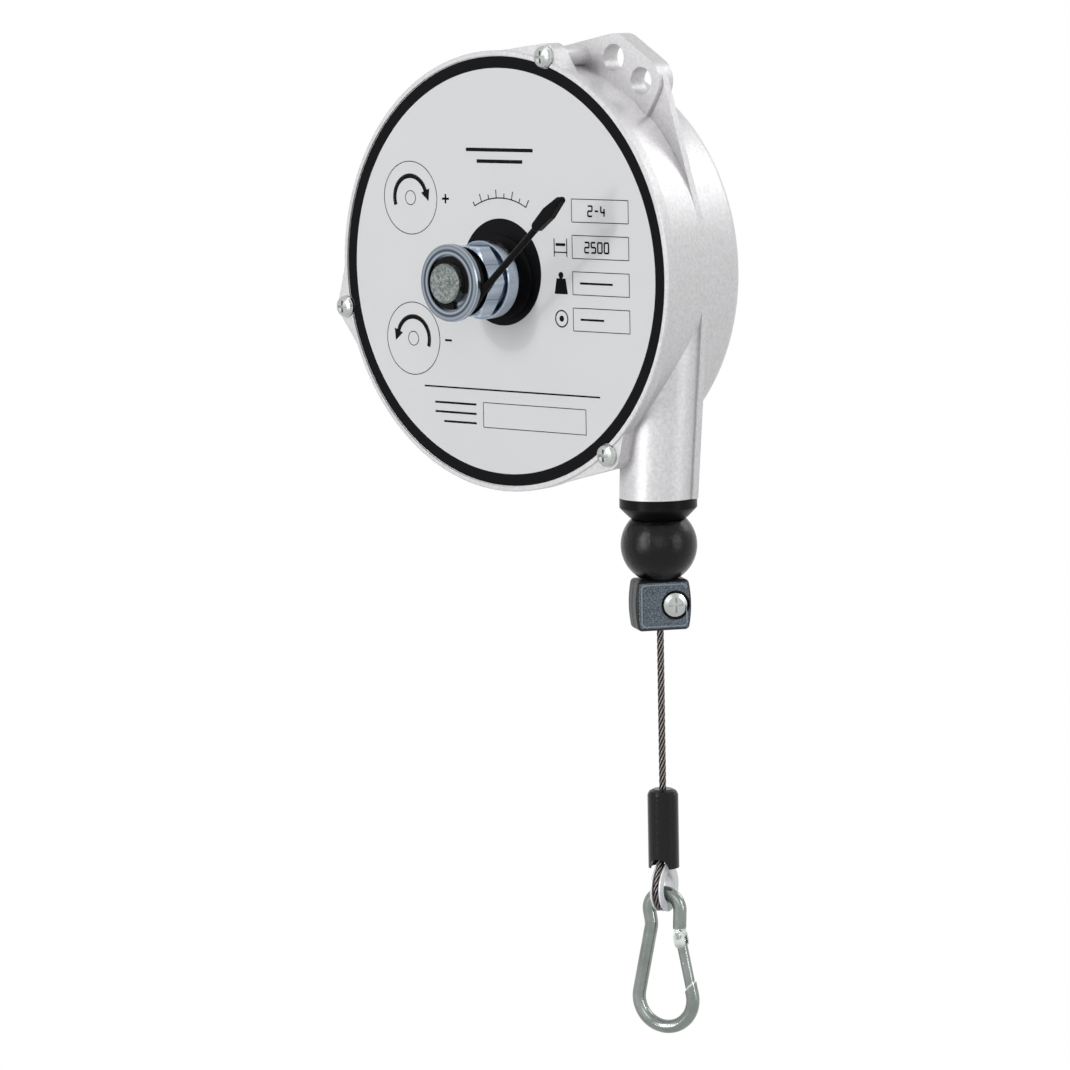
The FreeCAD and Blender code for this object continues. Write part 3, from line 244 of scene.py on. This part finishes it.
# ---------------------------------------------------------------- materials
cast = Material("cast_aluminium", (0.62, 0.61, 0.62), 0.42, 0.6)
cast.bump(cast.noise(2600.0, 5.0, 0.7), 0.00012, 0.5)
cast.bump(cast.noise(300.0, 4.0), 0.0002, 0.3)
cast.colour(cast.mix(cast.range(cast.noise(700.0, 5.0, 0.7), 0.0, 1.0, 0.35, 0.65),
                     (0.56, 0.55, 0.55), (0.68, 0.67, 0.685)))
cast.rough(cast.range(cast.noise(160.0, 3.0), 0.31, 0.45))

film = Material("label_film", (0.66, 0.66, 0.66), 0.42)
from_middle = film.radius(AXIS)
ring = film.range(from_middle, 0.0, 1.0, RING_INSIDE, RING_INSIDE + BAND_BLUR)
spot = film.range(from_middle, 1.0, 0.0, SPOT_RADIUS, SPOT_RADIUS + BAND_BLUR)
tone = film.mix(film.noise(35.0, 2.0), (0.65, 0.65, 0.65), (0.69, 0.69, 0.687))
printed = film.math("MAXIMUM", ring, spot)
film.colour(film.mix(printed, tone, (0.004, 0.004, 0.005)))
film.link(film.range(printed, 0.2, 0.06), film.shader.inputs["Specular IOR Level"])
film.bump(film.noise(1800.0, 3.0), 0.00003, 0.3)
film.rough(film.range(film.noise(90.0, 3.0), 0.32, 0.44))

ink = Material("black_ink", (0.004, 0.004, 0.005), 0.42, Specular_IOR_Level=0.06)
ink.bump(ink.noise(3000.0, 2.0), 0.00001, 0.4)
ink.rough(ink.range(ink.noise(300.0), 0.36, 0.5))


def tooled(name, colour, rough, scratch):
    """Bare metal with tool marks.

    They run along the direction that scratch stretches least or, where it is a number,
    round the hub.
    """
    metal = Material(name, colour, rough, 1.0)
    run = metal.scaled(scratch) if isinstance(scratch, tuple) else metal.turning(HUB, scratch)
    metal.bump(metal.noise(60.0, 6.0, 0.65, run), 0.00006, 0.35)
    metal.bump(metal.noise(700.0, 4.0), 0.00005, 0.3)
    metal.rough(metal.range(metal.noise(220.0, 5.0), rough - 0.08, rough + 0.12, 0.3, 0.7))
    return metal


def plated(name, base, worn, rough, scratch):
    """Metal with tool marks, clouded by its plating or its age and lighter at its edges."""
    metal = tooled(name, base, rough, scratch)
    wear(metal, base, worn, 120.0)
    return metal


zinc = plated("zinc_plate", (0.42, 0.44, 0.43), (0.66, 0.68, 0.66), 0.26, (6, 6, 30))
turned = plated("turned_steel", (0.20, 0.245, 0.31), (0.62, 0.69, 0.78), 0.17, 60)
axle_steel = tooled("axle_steel", (0.11, 0.125, 0.125), 0.36, 30)
pitted = axle_steel.range(axle_steel.noise(900.0, 5.0, 0.75), 0.0, 1.0, 0.36, 0.68)
axle_steel.colour(axle_steel.mix(pitted, (0.05, 0.056, 0.056), (0.33, 0.36, 0.35)))
axle_steel.bump(pitted, 0.00015, 0.5)
ring_steel = Material("ring_steel", (0.22, 0.25, 0.30), 0.2, 1.0)
# the steel's colour runs in dark and light rings round the axis: painted reflection
painted_reflection_bands = ring_steel.noise(60.0, 5.0, 0.6, ring_steel.turning(HUB, 14))
ring_steel.colour(ring_steel.mix(ring_steel.range(painted_reflection_bands, 0.0, 1.0, 0.38, 0.62),
                                 (0.07, 0.085, 0.105), (0.38, 0.43, 0.49)))
ring_steel.bump(ring_steel.noise(60.0, 5.0, 0.6, ring_steel.turning(HUB, 60)), 0.00006, 0.3)
ring_steel.rough(ring_steel.range(ring_steel.noise(250.0, 4.0), 0.14, 0.32))
hook_zinc = plated("hook_plate", (0.21, 0.235, 0.22), (0.60, 0.64, 0.61), 0.2, (16, 16, 5))
strand = plated("cord_wire", (0.30, 0.26, 0.23), (0.58, 0.52, 0.46), 0.36, (5, 5, 40))
bronze = plated("bush_bronze", (0.45, 0.30, 0.14), (0.66, 0.48, 0.25), 0.34, (5, 60, 5))
blued = plated("spring_steel", (0.16, 0.18, 0.23), (0.34, 0.36, 0.42), 0.32, (5, 60, 5))
drum_metal = plated("machined_aluminium", (0.66, 0.66, 0.67), (0.82, 0.82, 0.83), 0.33, (4, 70, 4))


def moulded(name, shade, rough, relief, scale, gloss):
    """Dark plastic with a fine texture."""
    plastic = Material(name, (shade,) * 3, rough, Specular_IOR_Level=gloss)
    plastic.bump(plastic.noise(scale, 4.0, 0.6), relief, 0.5)
    plastic.rough(plastic.range(plastic.noise(150.0, 3.0), rough - 0.06, rough + 0.1))
    return plastic


def black(name, shade, rough, relief, scale, gloss):
    """Moulded black plastic with slightly greyed edges."""
    plastic = moulded(name, shade, rough, relief, scale, gloss)
    wear(plastic, (shade, shade, shade * 1.1), (shade * 2.2,) * 3, 90.0)
    return plastic


ball_black = black("ball_plastic", 0.002, 0.12, 0.00055, 650.0, gloss=0.22)
guide_black = black("guide_plastic", 0.003, 0.3, 0.00012, 900.0, gloss=0.08)
sleeve_black = black("sleeve_plastic", 0.003, 0.2, 0.00016, 800.0, gloss=0.22)
bush_black = black("bush_plastic", 0.003, 0.5, 0.00008, 1400.0, gloss=0.06)
wire_black = black("blackened_wire", 0.003, 0.3, 0.00006, 1800.0, gloss=0.06)
grip_black = black("grip_plastic", 0.003, 0.25, 0.0001, 1100.0, gloss=0.07)

# the clamp: dark all round, and its face inside a raised border painted with grey grains of sheen,
# a painted highlight on the dark plastic
clamp_black = moulded("clamp_plastic", 0.03, 0.36, 0.00025, 1500.0, gloss=0.3)
grains = clamp_black.range(clamp_black.noise(1900.0, 4.0, 0.7), 0.0, 1.0, 0.42, 0.66)
# grey grains on the face: painted sheen
grain_sheen = clamp_black.mix(grains, (0.03, 0.037, 0.045), (0.23, 0.285, 0.34))
edge = clamp_black.math("MAXIMUM", clamp_black.share(CLAMP, CLAMP_ALONG, CLAMP_HALF_WIDTH),
                        clamp_black.share(CLAMP, UP, CLAMP_HALF_HEIGHT))
inside = clamp_black.range(edge, 1.0, 0.0, 0.90, 0.92)
on_face = clamp_black.range(clamp_black.share(CLAMP, CLAMP_OUT, CLAMP_HALF_DEPTH),
                            0.0, 1.0, 0.96, 0.985)
clamp_black.colour(clamp_black.mix(clamp_black.math("MULTIPLY", on_face, inside),
                                   (0.008, 0.009, 0.011), grain_sheen))
clamp_black.bump(inside, 0.0004, 1.0)
# raised border: painted grey in grains, a painted sheen lighter than the dark plastic round it
border_black = Material("border_plastic", (0.24, 0.28, 0.32), 0.36, Specular_IOR_Level=0.3)
worn = border_black.range(border_black.noise(1900.0, 4.0, 0.7), 0.0, 1.0, 0.35, 0.65)
border_black.colour(border_black.mix(worn, (0.13, 0.155, 0.18), (0.34, 0.39, 0.44)))
border_black.bump(worn, 0.00008, 0.5)

white = Material("white_plastic", (0.80, 0.81, 0.82), 0.3, Subsurface_Weight=0.08,
                 Subsurface_Scale=0.002)
white.bump(white.noise(700.0, 3.0), 0.00008, 0.4)
white.colour(white.mix(white.noise(120.0), (0.74, 0.75, 0.76), (0.84, 0.85, 0.86)))
white.rough(white.range(white.noise(90.0), 0.24, 0.38))

LOOKS = {
    cast: ("housing_body", "front_cover"),
    film: ("front_label",),
    zinc: ("cover_screw_1", "cover_screw_2", "cover_screw_3", "clamp_screw", "clamp_nut",
           "axle_washer", "axle_nut", "spring_cover", "rope_anchor", "spring_cover_screw_1",
           "spring_cover_screw_2", "spring_cover_screw_3", "spring_cover_screw_4"),
    turned: ("adjust_hub",),
    ring_steel: ("brake_ring",),
    axle_steel: ("center_axle",),
    hook_zinc: ("hook_body", "hook_gate", "gate_pin"),
    strand: ("rope_winding", "rope"),
    bronze: ("drum_front_bush", "drum_rear_bush"),
    blued: ("power_spring",),
    drum_metal: ("drum", "rope_ferrule"),
    ball_black: ("stop_ball",),
    guide_black: ("rope_guide",),
    clamp_black: ("clamp_front", "clamp_rear"),
    sleeve_black: ("rope_sleeve",),
    bush_black: ("hub_bush",),
    wire_black: ("brake_spring", "axle_circlip"),
    grip_black: ("lever_grip",),
    white: ("thimble",),
}
for material, names in LOOKS.items():
    for name in names:
        for slot in nodes[name].material_slots:
            slot.material = material.data


# ---------------------------------------------------------------- print on the label
def flat_piece(name, faces, depth):
    """Thin printed shape: faces are lists of (x, z) in mm from the middle of the label."""
    mesh = bmesh.new()
    for face in faces:
        corners = [mesh.verts.new(AXIS + Vector((x * MM, -depth, z * MM))) for x, z in face]
        mesh.faces.new(corners)
    piece = add_object(name, mesh, ink)
    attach(piece, "housing")


def stroke(points, width):
    """Quads along a line of points, one for each run."""
    faces = []
    for (xa, za), (xb, zb) in zip(points, points[1:]):
        length = math.hypot(xb - xa, zb - za)
        dx, dz = (xb - xa) / length * width / 2, (zb - za) / length * width / 2
        faces.append([(xa - dz, za + dx), (xb - dz, zb + dx), (xb + dz, zb - dx),
                      (xa + dz, za - dx)])
    return faces


def arc(cx, cz, r, first, last, steps=40):
    """Points along part of a circle, from one angle to another in degrees."""
    return [(cx + r * math.cos(math.radians(first + (last - first) * i / steps)),
             cz + r * math.sin(math.radians(first + (last - first) * i / steps)))
            for i in range(steps + 1)]


def bar(xa, za, xb, zb, width):
    """Straight stroke between two places."""
    return stroke([(xa, za), (xb, zb)], width)


def circle(cx, cz, r, width, steps=32):
    """Outline of a circle."""
    return stroke(arc(cx, cz, r, 0, 360, steps), width)


def frame_box(x, z, wide, high):
    """Outline of a box from its lower left corner."""
    return stroke([(x, z), (x + wide, z), (x + wide, z + high), (x, z + high), (x, z)], 0.35)


def disc(cx, cz, r):
    """Filled circle."""
    return [arc(cx, cz, r, 0, 360, 20)[:-1]]


def turn_arrow(cx, cz, r, first, last, width):
    """Broad curved arrow with a triangular head at its end."""
    run = arc(cx, cz, r, first, last)
    (xa, za), (xb, zb) = run[-2], run[-1]
    length = math.hypot(xb - xa, zb - za)
    ux, uz = (xb - xa) / length, (zb - za) / length
    half, reach = 1.3 * width, 2.4 * width
    head = [(xb + uz * half, zb - ux * half), (xb + ux * reach, zb + uz * reach),
            (xb - uz * half, zb + ux * half)]
    return stroke(run, width) + [head]


# strokes of the plain figures in a cell 1 high and 0.55 wide
FIGURES = {
    "0": [[(0, 0), (0.55, 0), (0.55, 1), (0, 1), (0, 0)]],
    "2": [[(0, 1), (0.55, 1), (0.55, 0.5), (0, 0.5), (0, 0), (0.55, 0)]],
    "4": [[(0, 1), (0, 0.4), (0.55, 0.4)], [(0.42, 0.75), (0.42, 0)]],
    "5": [[(0.55, 1), (0, 1), (0, 0.52), (0.55, 0.52), (0.55, 0), (0, 0)]],
    "-": [[(0.05, 0.5), (0.5, 0.5)]]}


def number(figures, x, z, high):
    """Plain figures in strokes, from the lower left corner of the first."""
    faces = []
    pitch, width = 0.85 * high, 0.75
    for figure in figures:
        for run in FIGURES[figure]:
            faces += stroke([(x + u * high, z + v * high) for u, v in run], width)
        x += pitch
    return faces


# data boxes on the right, two with figures and two with a bar; beside them a ring, a bracket
# and a weight as icons
prints = []
for z in (22.0, 7.0, -8.0, -23.0):
    prints += frame_box(40, z, 31, 9.5)
prints += number("2-4", 49, 24.6, 4.2) + number("2500", 47, 9.6, 4.2)
prints += bar(44, -3.2, 62, -3.2, 0.9) + bar(44, -18.2, 57, -18.2, 0.9)
prints += circle(33.5, -18.2, 3.4, 0.6) + disc(33.5, -18.2, 1.3)
prints += bar(30, 9.3, 37, 9.3, 0.5) + bar(30, 7.4, 30, 15, 0.5)
prints += bar(37, 7.4, 37, 15, 0.5) + bar(30.8, 12.5, 36.2, 12.5, 1.2)
prints += [[(29.8, -8), (37.2, -8), (36, -1.5), (31, -1.5)]] + disc(33.5, -0.2, 1.4)

# two heading bars at the top; a rule, a box and three bars at the bottom
prints += bar(-19, 51, 19, 51, 1.5) + bar(-13, 46.2, 13, 46.2, 1.5)
prints += bar(-46, -50, 54, -50, 0.7) + frame_box(-12, -66, 58, 10.5)
for x, z in ((-40, -56.6), (-40, -60.6), (-35, -64.6)):
    prints += bar(x, z, -16, z, 0.9)

# turn arrows on the left, marked + above and - below
prints += bar(-31.5, 28, -31.5, 32, 0.9)
for z, first, last in ((30, 200, 20), (-30, -20, 160)):
    prints += circle(-52, z, 15.5, 0.35, 64) + circle(-52, z, 3.0, 0.35)
    prints += turn_arrow(-52, z, 9.3, first, last, 2.0)
    prints += bar(-33.5, z, -29.5, z, 0.9)

# scale of the adjusting hub: an arc above it with a long and a short tick in turn
SCALE_RADIUS, SCALE_START, SCALE_STEP = 31, 62, 8
prints += stroke(arc(0, 0, SCALE_RADIUS, SCALE_START, 180 - SCALE_START, 30), 0.5)
for tick in range(8):
    angle = math.radians(SCALE_START + SCALE_STEP * tick)
    reach = 33 if tick % 2 else 34.5
    prints += bar(SCALE_RADIUS * math.cos(angle), SCALE_RADIUS * math.sin(angle),
                  reach * math.cos(angle), reach * math.sin(angle), 0.5)
flat_piece("label_print", prints, 0.04 * MM)


# ---------------------------------------------------------------- raised border of the clamp
def rounded(half_width, half_height, corner):
    """Points round a rectangle with round corners, in mm from its middle."""
    points, step = [], 0.6
    corners = ((half_width - corner, half_height - corner, 0),
               (corner - half_width, half_height - corner, 90),
               (corner - half_width, corner - half_height, 180),
               (half_width - corner, corner - half_height, 270))
    for i, (x, z, first) in enumerate(corners):
        points += arc(x, z, corner, first, first + 90, 8)
        (xa, za), (x, z, first) = points[-1], corners[(i + 1) % 4]
        xb, zb = arc(x, z, corner, first, first + 90, 1)[0]
        count = round(math.hypot(xb - xa, zb - za) / step)
        points += [(xa + (xb - xa) * k / count, za + (zb - za) * k / count)
                   for k in range(1, count)]
    return points


def border_strip(half_width, half_height, corner, width, height, screw_at, screw_clear):
    """Raised strip round the face of the clamp, left open round the screw head; in mm."""
    face, sunk = CLAMP_HALF_DEPTH / MM, 0.05
    loop = list(zip(rounded(half_width, half_height, corner),
                    rounded(half_width - width, half_height - width, corner)))
    clear = [math.hypot(x - screw_at, z) > screw_clear for (x, z), _ in loop]
    start = next(i for i in range(len(loop)) if clear[i] and not clear[i - 1])
    mesh = bmesh.new()
    previous = None
    for i in range(start, start + len(loop)):
        (xo, zo), (xi, zi) = loop[i % len(loop)]
        if not clear[i % len(loop)]:
            break
        corners = ((xo, zo, face - sunk), (xo, zo, face + height),
                   (xi, zi, face + height), (xi, zi, face - sunk))
        section = [mesh.verts.new(CLAMP + (CLAMP_ALONG * x + CLAMP_OUT * y + UP * z) * MM)
                   for x, z, y in corners]
        if previous:
            for k in range(4):
                after = (k + 1) % 4
                mesh.faces.new((previous[k], section[k], section[after], previous[after]))
        else:
            mesh.faces.new(section)
        previous = section
    mesh.faces.new(previous[::-1])
    bmesh.ops.recalc_face_normals(mesh, faces=mesh.faces)
    return mesh


clamp_border = add_object("clamp_border", border_strip(
    half_width=10.0, half_height=9.0, corner=1.8, width=0.6, height=0.35, screw_at=4.9,
    screw_clear=6.6), border_black)
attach(clamp_border, "load")

# ---------------------------------------------------------------- stranded cord
EYE_TURN = math.radians(107.5)
EYE = Vector((math.cos(EYE_TURN), math.sin(EYE_TURN), 0))
EYE_Z, EYE_RADIUS = -258.5, 9.15  # middle of the eye, and the cord's line round it, in mm


def at_cord(x, z):
    """Point in the plane of the eye: x across it, z from the middle of the label, in mm."""
    return CORD + EYE * (x * MM) + Vector((0, 0, z * MM))


# down from the spout, round the eye and back up into the sleeve, in mm
route = [(0, -76), (0, -114), (0, -222), (0, -241.8)]
for angle in (170, 215, 260, 305, 350):
    turn = math.radians(angle)
    route.append((EYE_RADIUS * math.cos(turn), EYE_Z + EYE_RADIUS * math.sin(turn)))
route += [(3.2, -241.4), (3.2, -225)]
curve = bpy.data.curves.new("cord_line", "CURVE")
curve.dimensions = "3D"
curve.resolution_u = 24
spline = curve.splines.new("NURBS")
spline.points.add(len(route) - 1)
for point, (x, z) in zip(spline.points, route):
    point.co = (*at_cord(x, z), 1)
spline.order_u = 3
spline.use_endpoint_u = True
line_object = bpy.data.objects.new("cord_line", curve)
line_mesh = bpy.data.meshes.new_from_object(line_object)
line = [v.co.copy() for v in line_mesh.vertices]
bpy.data.objects.remove(line_object)
bpy.data.curves.remove(curve)
bpy.data.meshes.remove(line_mesh)


def resample(points, step):
    """Points an even step apart along a line."""
    result, carried = [points[0].copy()], 0.0
    for a, b in zip(points, points[1:]):
        length = (b - a).length
        while carried + length >= step:
            a = a + (b - a) * ((step - carried) / length)
            length = (b - a).length
            carried = 0.0
            result.append(a.copy())
        carried += length
    return result


line = resample(line, 0.7 * MM)


def stranded(points, strands, strand_radius, lay_radius, pitch, sides):
    """Twisted strands round a line, each a tube; the frame is carried along the line.

    The attribute "crown" is 1 on the outside of a strand and -1 in the grooves.
    """
    mesh = bmesh.new()
    crown = mesh.verts.layers.float.new("crown")
    tangents = [(points[min(i + 1, len(points) - 1)] - points[max(i - 1, 0)]).normalized()
                for i in range(len(points))]
    across = Vector((0, 1, 0)).cross(tangents[0]).normalized()
    frames = []
    for tangent in tangents:
        across = (across - tangent * across.dot(tangent)).normalized()
        frames.append((across.copy(), tangent.cross(across)))
    step = (points[1] - points[0]).length
    for k in range(strands + 1):
        lay = 0 if k == strands else lay_radius  # the last strand is the core
        previous = None
        for i, point in enumerate(points):
            a, b = frames[i]
            turn = 2 * math.pi * (k / strands + i * step / pitch)
            centre = point + (a * math.cos(turn) + b * math.sin(turn)) * lay
            ring_verts = []
            for s in range(sides):
                angle = 2 * math.pi * s / sides
                ring_verts.append(mesh.verts.new(
                    centre + (a * math.cos(angle) + b * math.sin(angle)) * strand_radius))
                ring_verts[-1][crown] = math.cos(angle - turn) if lay else -1.0
            if previous:
                for s in range(sides):
                    after = (s + 1) % sides
                    mesh.faces.new((previous[s], previous[after], ring_verts[after],
                                    ring_verts[s])).smooth = True
            else:
                mesh.faces.new(ring_verts[::-1])
            previous = ring_verts
        mesh.faces.new(previous)
    return mesh


cord_wire = Material("stranded_cord", (0.30, 0.26, 0.25), 0.3, 1.0)
height = cord_wire.tree.nodes.new("ShaderNodeAttribute")
height.attribute_name = "crown"
# grooves between the strands painted near black and the crowns lighter: painted shade in the
# grooves
cord_wire.colour(cord_wire.mix(
    cord_wire.range(height.outputs["Fac"], 0.0, 1.0, 0.45, 0.98), (0.005, 0.004, 0.004),
    cord_wire.mix(cord_wire.noise(900.0, 3.0), (0.10, 0.085, 0.08), (0.34, 0.30, 0.29))))
cord_wire.bump(cord_wire.cells(2600.0), 0.00008, 0.6)
cord_wire.rough(cord_wire.range(cord_wire.noise(1200.0), 0.24, 0.42))
cord = add_object("stranded_cord", stranded(
    line, strands=6, strand_radius=0.52 * MM, lay_radius=0.97 * MM, pitch=17 * MM, sides=8),
    cord_wire)
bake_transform(cord)
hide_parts("rope")

# ---------------------------------------------------------------- camera, light and floor
scene = bpy.context.scene
scene.view_settings.view_transform = "Standard"
AZIMUTH, ELEVATION, ROLL = (math.radians(a) for a in (42.5, 7.4, 1.1))
LENS, SENSOR = 150.0, 36.0
SPAN = 448.1 * MM  # width of the picture at the distance of the label
MIDDLE = (14.0 * MM, -110.1 * MM)  # middle of the picture, right and up from the label's
back = Vector((math.sin(AZIMUTH) * math.cos(ELEVATION),
               -math.cos(AZIMUTH) * math.cos(ELEVATION), math.sin(ELEVATION)))
right = Vector((math.cos(AZIMUTH), math.sin(AZIMUTH), 0))
up = back.cross(right)
right, up = (right * math.cos(ROLL) - up * math.sin(ROLL),
             right * math.sin(ROLL) + up * math.cos(ROLL))
distance = SPAN * LENS / SENSOR
camera_data = bpy.data.cameras.new("camera")
camera_data.lens, camera_data.sensor_width = LENS, SENSOR
camera_data.clip_start, camera_data.clip_end = 0.05, 50
camera = bpy.data.objects.new("camera", camera_data)
scene.collection.objects.link(camera)
camera.matrix_world = Matrix.Translation(
    AXIS + back * distance + right * MIDDLE[0] + up * MIDDLE[1]) @ Matrix(
        (right, up, back)).transposed().to_4x4()
scene.camera = camera
LAMP_AIM = Vector((0, 0, -0.12))  # a little below the middle of the case


def lamp(name, place, size, power, tall=None):
    """Round lamp, or an upright strip where tall is given, in metres and watts."""
    data = bpy.data.lights.new(name, "AREA")
    data.shape, data.size, data.energy = "DISK", size, power
    if tall:
        data.shape, data.size_y = "RECTANGLE", tall
    light = bpy.data.objects.new(name, data)
    scene.collection.objects.link(light)
    light.location = place
    light.rotation_mode = "QUATERNION"
    light.rotation_quaternion = (Vector(place) - LAMP_AIM).to_track_quat("Z", "Y")


lamp("key", (-0.3, -2.1, 0.35), 0.25, 25.5, tall=1.6)
lamp("key_spark", (-0.26, -1.95, 0.75), 0.1, 4)
lamp("front", (1.35, -1.6, 0.45), 1.2, 5.5)
lamp("side", (2.05, 0.35, 0.15), 0.16, 7, tall=1.3)
lamp("side_spark", (1.95, 0.4, 0.55), 0.1, 3)
lamp("top", (0.2, 0.0, 2.0), 1.0, 3)
lamp("rear", (0.6, 1.9, 0.9), 1.0, 7)

studio_world = bpy.data.worlds.new("studio")
scene.world = studio_world
studio_world.use_nodes = True
tree = studio_world.node_tree
studio = tree.nodes["Background"]
studio.inputs["Color"].default_value = (0.92, 0.95, 1.0, 1)
studio.inputs["Strength"].default_value = 0.34
page = tree.nodes.new("ShaderNodeBackground")
page.inputs["Color"].default_value = (1, 1, 1, 1)
choose = tree.nodes.new("ShaderNodeMixShader")
tree.links.new(seen_directly(tree), choose.inputs[0])
tree.links.new(studio.outputs[0], choose.inputs[1])
tree.links.new(page.outputs[0], choose.inputs[2])
tree.links.new(choose.outputs[0], tree.nodes["World Output"].inputs["Surface"])

FLOOR_HALF = 6.0
low = cad_low[2] - (CORD_TRAVEL + 0.1)  # clear of the hook with the cord all the way out
floor_mesh = bmesh.new()
floor_mesh.faces.new([floor_mesh.verts.new((x * FLOOR_HALF, y * FLOOR_HALF, low))
                      for x, y in ((-1, -1), (1, -1), (1, 1), (-1, 1))])
pale = Material("pale_floor", (0.86, 0.86, 0.86), 0.7)
pale.colour(pale.mix(pale.noise(3.0), (0.85, 0.85, 0.85), (0.88, 0.88, 0.88)))
# white to the eye far from the object, and only partly so under it, where its shadow falls
paper = pale.tree.nodes.new("ShaderNodeEmission")
paper.inputs["Color"].default_value = (1, 1, 1, 1)
paper.inputs["Strength"].default_value = 1.0
from_object = pale.radius(Vector((0, 0, 0)), "XY")
paper_share = pale.math("MULTIPLY", pale.range(from_object, low=0.8, high=1.0, start=0.2,
                                               stop=0.9), seen_directly(pale.tree))
blend = pale.tree.nodes.new("ShaderNodeMixShader")
pale.link(paper_share, blend.inputs[0])
pale.link(pale.shader.outputs[0], blend.inputs[1])
pale.link(paper.outputs[0], blend.inputs[2])
pale.link(blend.outputs[0], pale.tree.nodes["Material Output"].inputs["Surface"])
floor = add_object("floor", floor_mesh, pale)
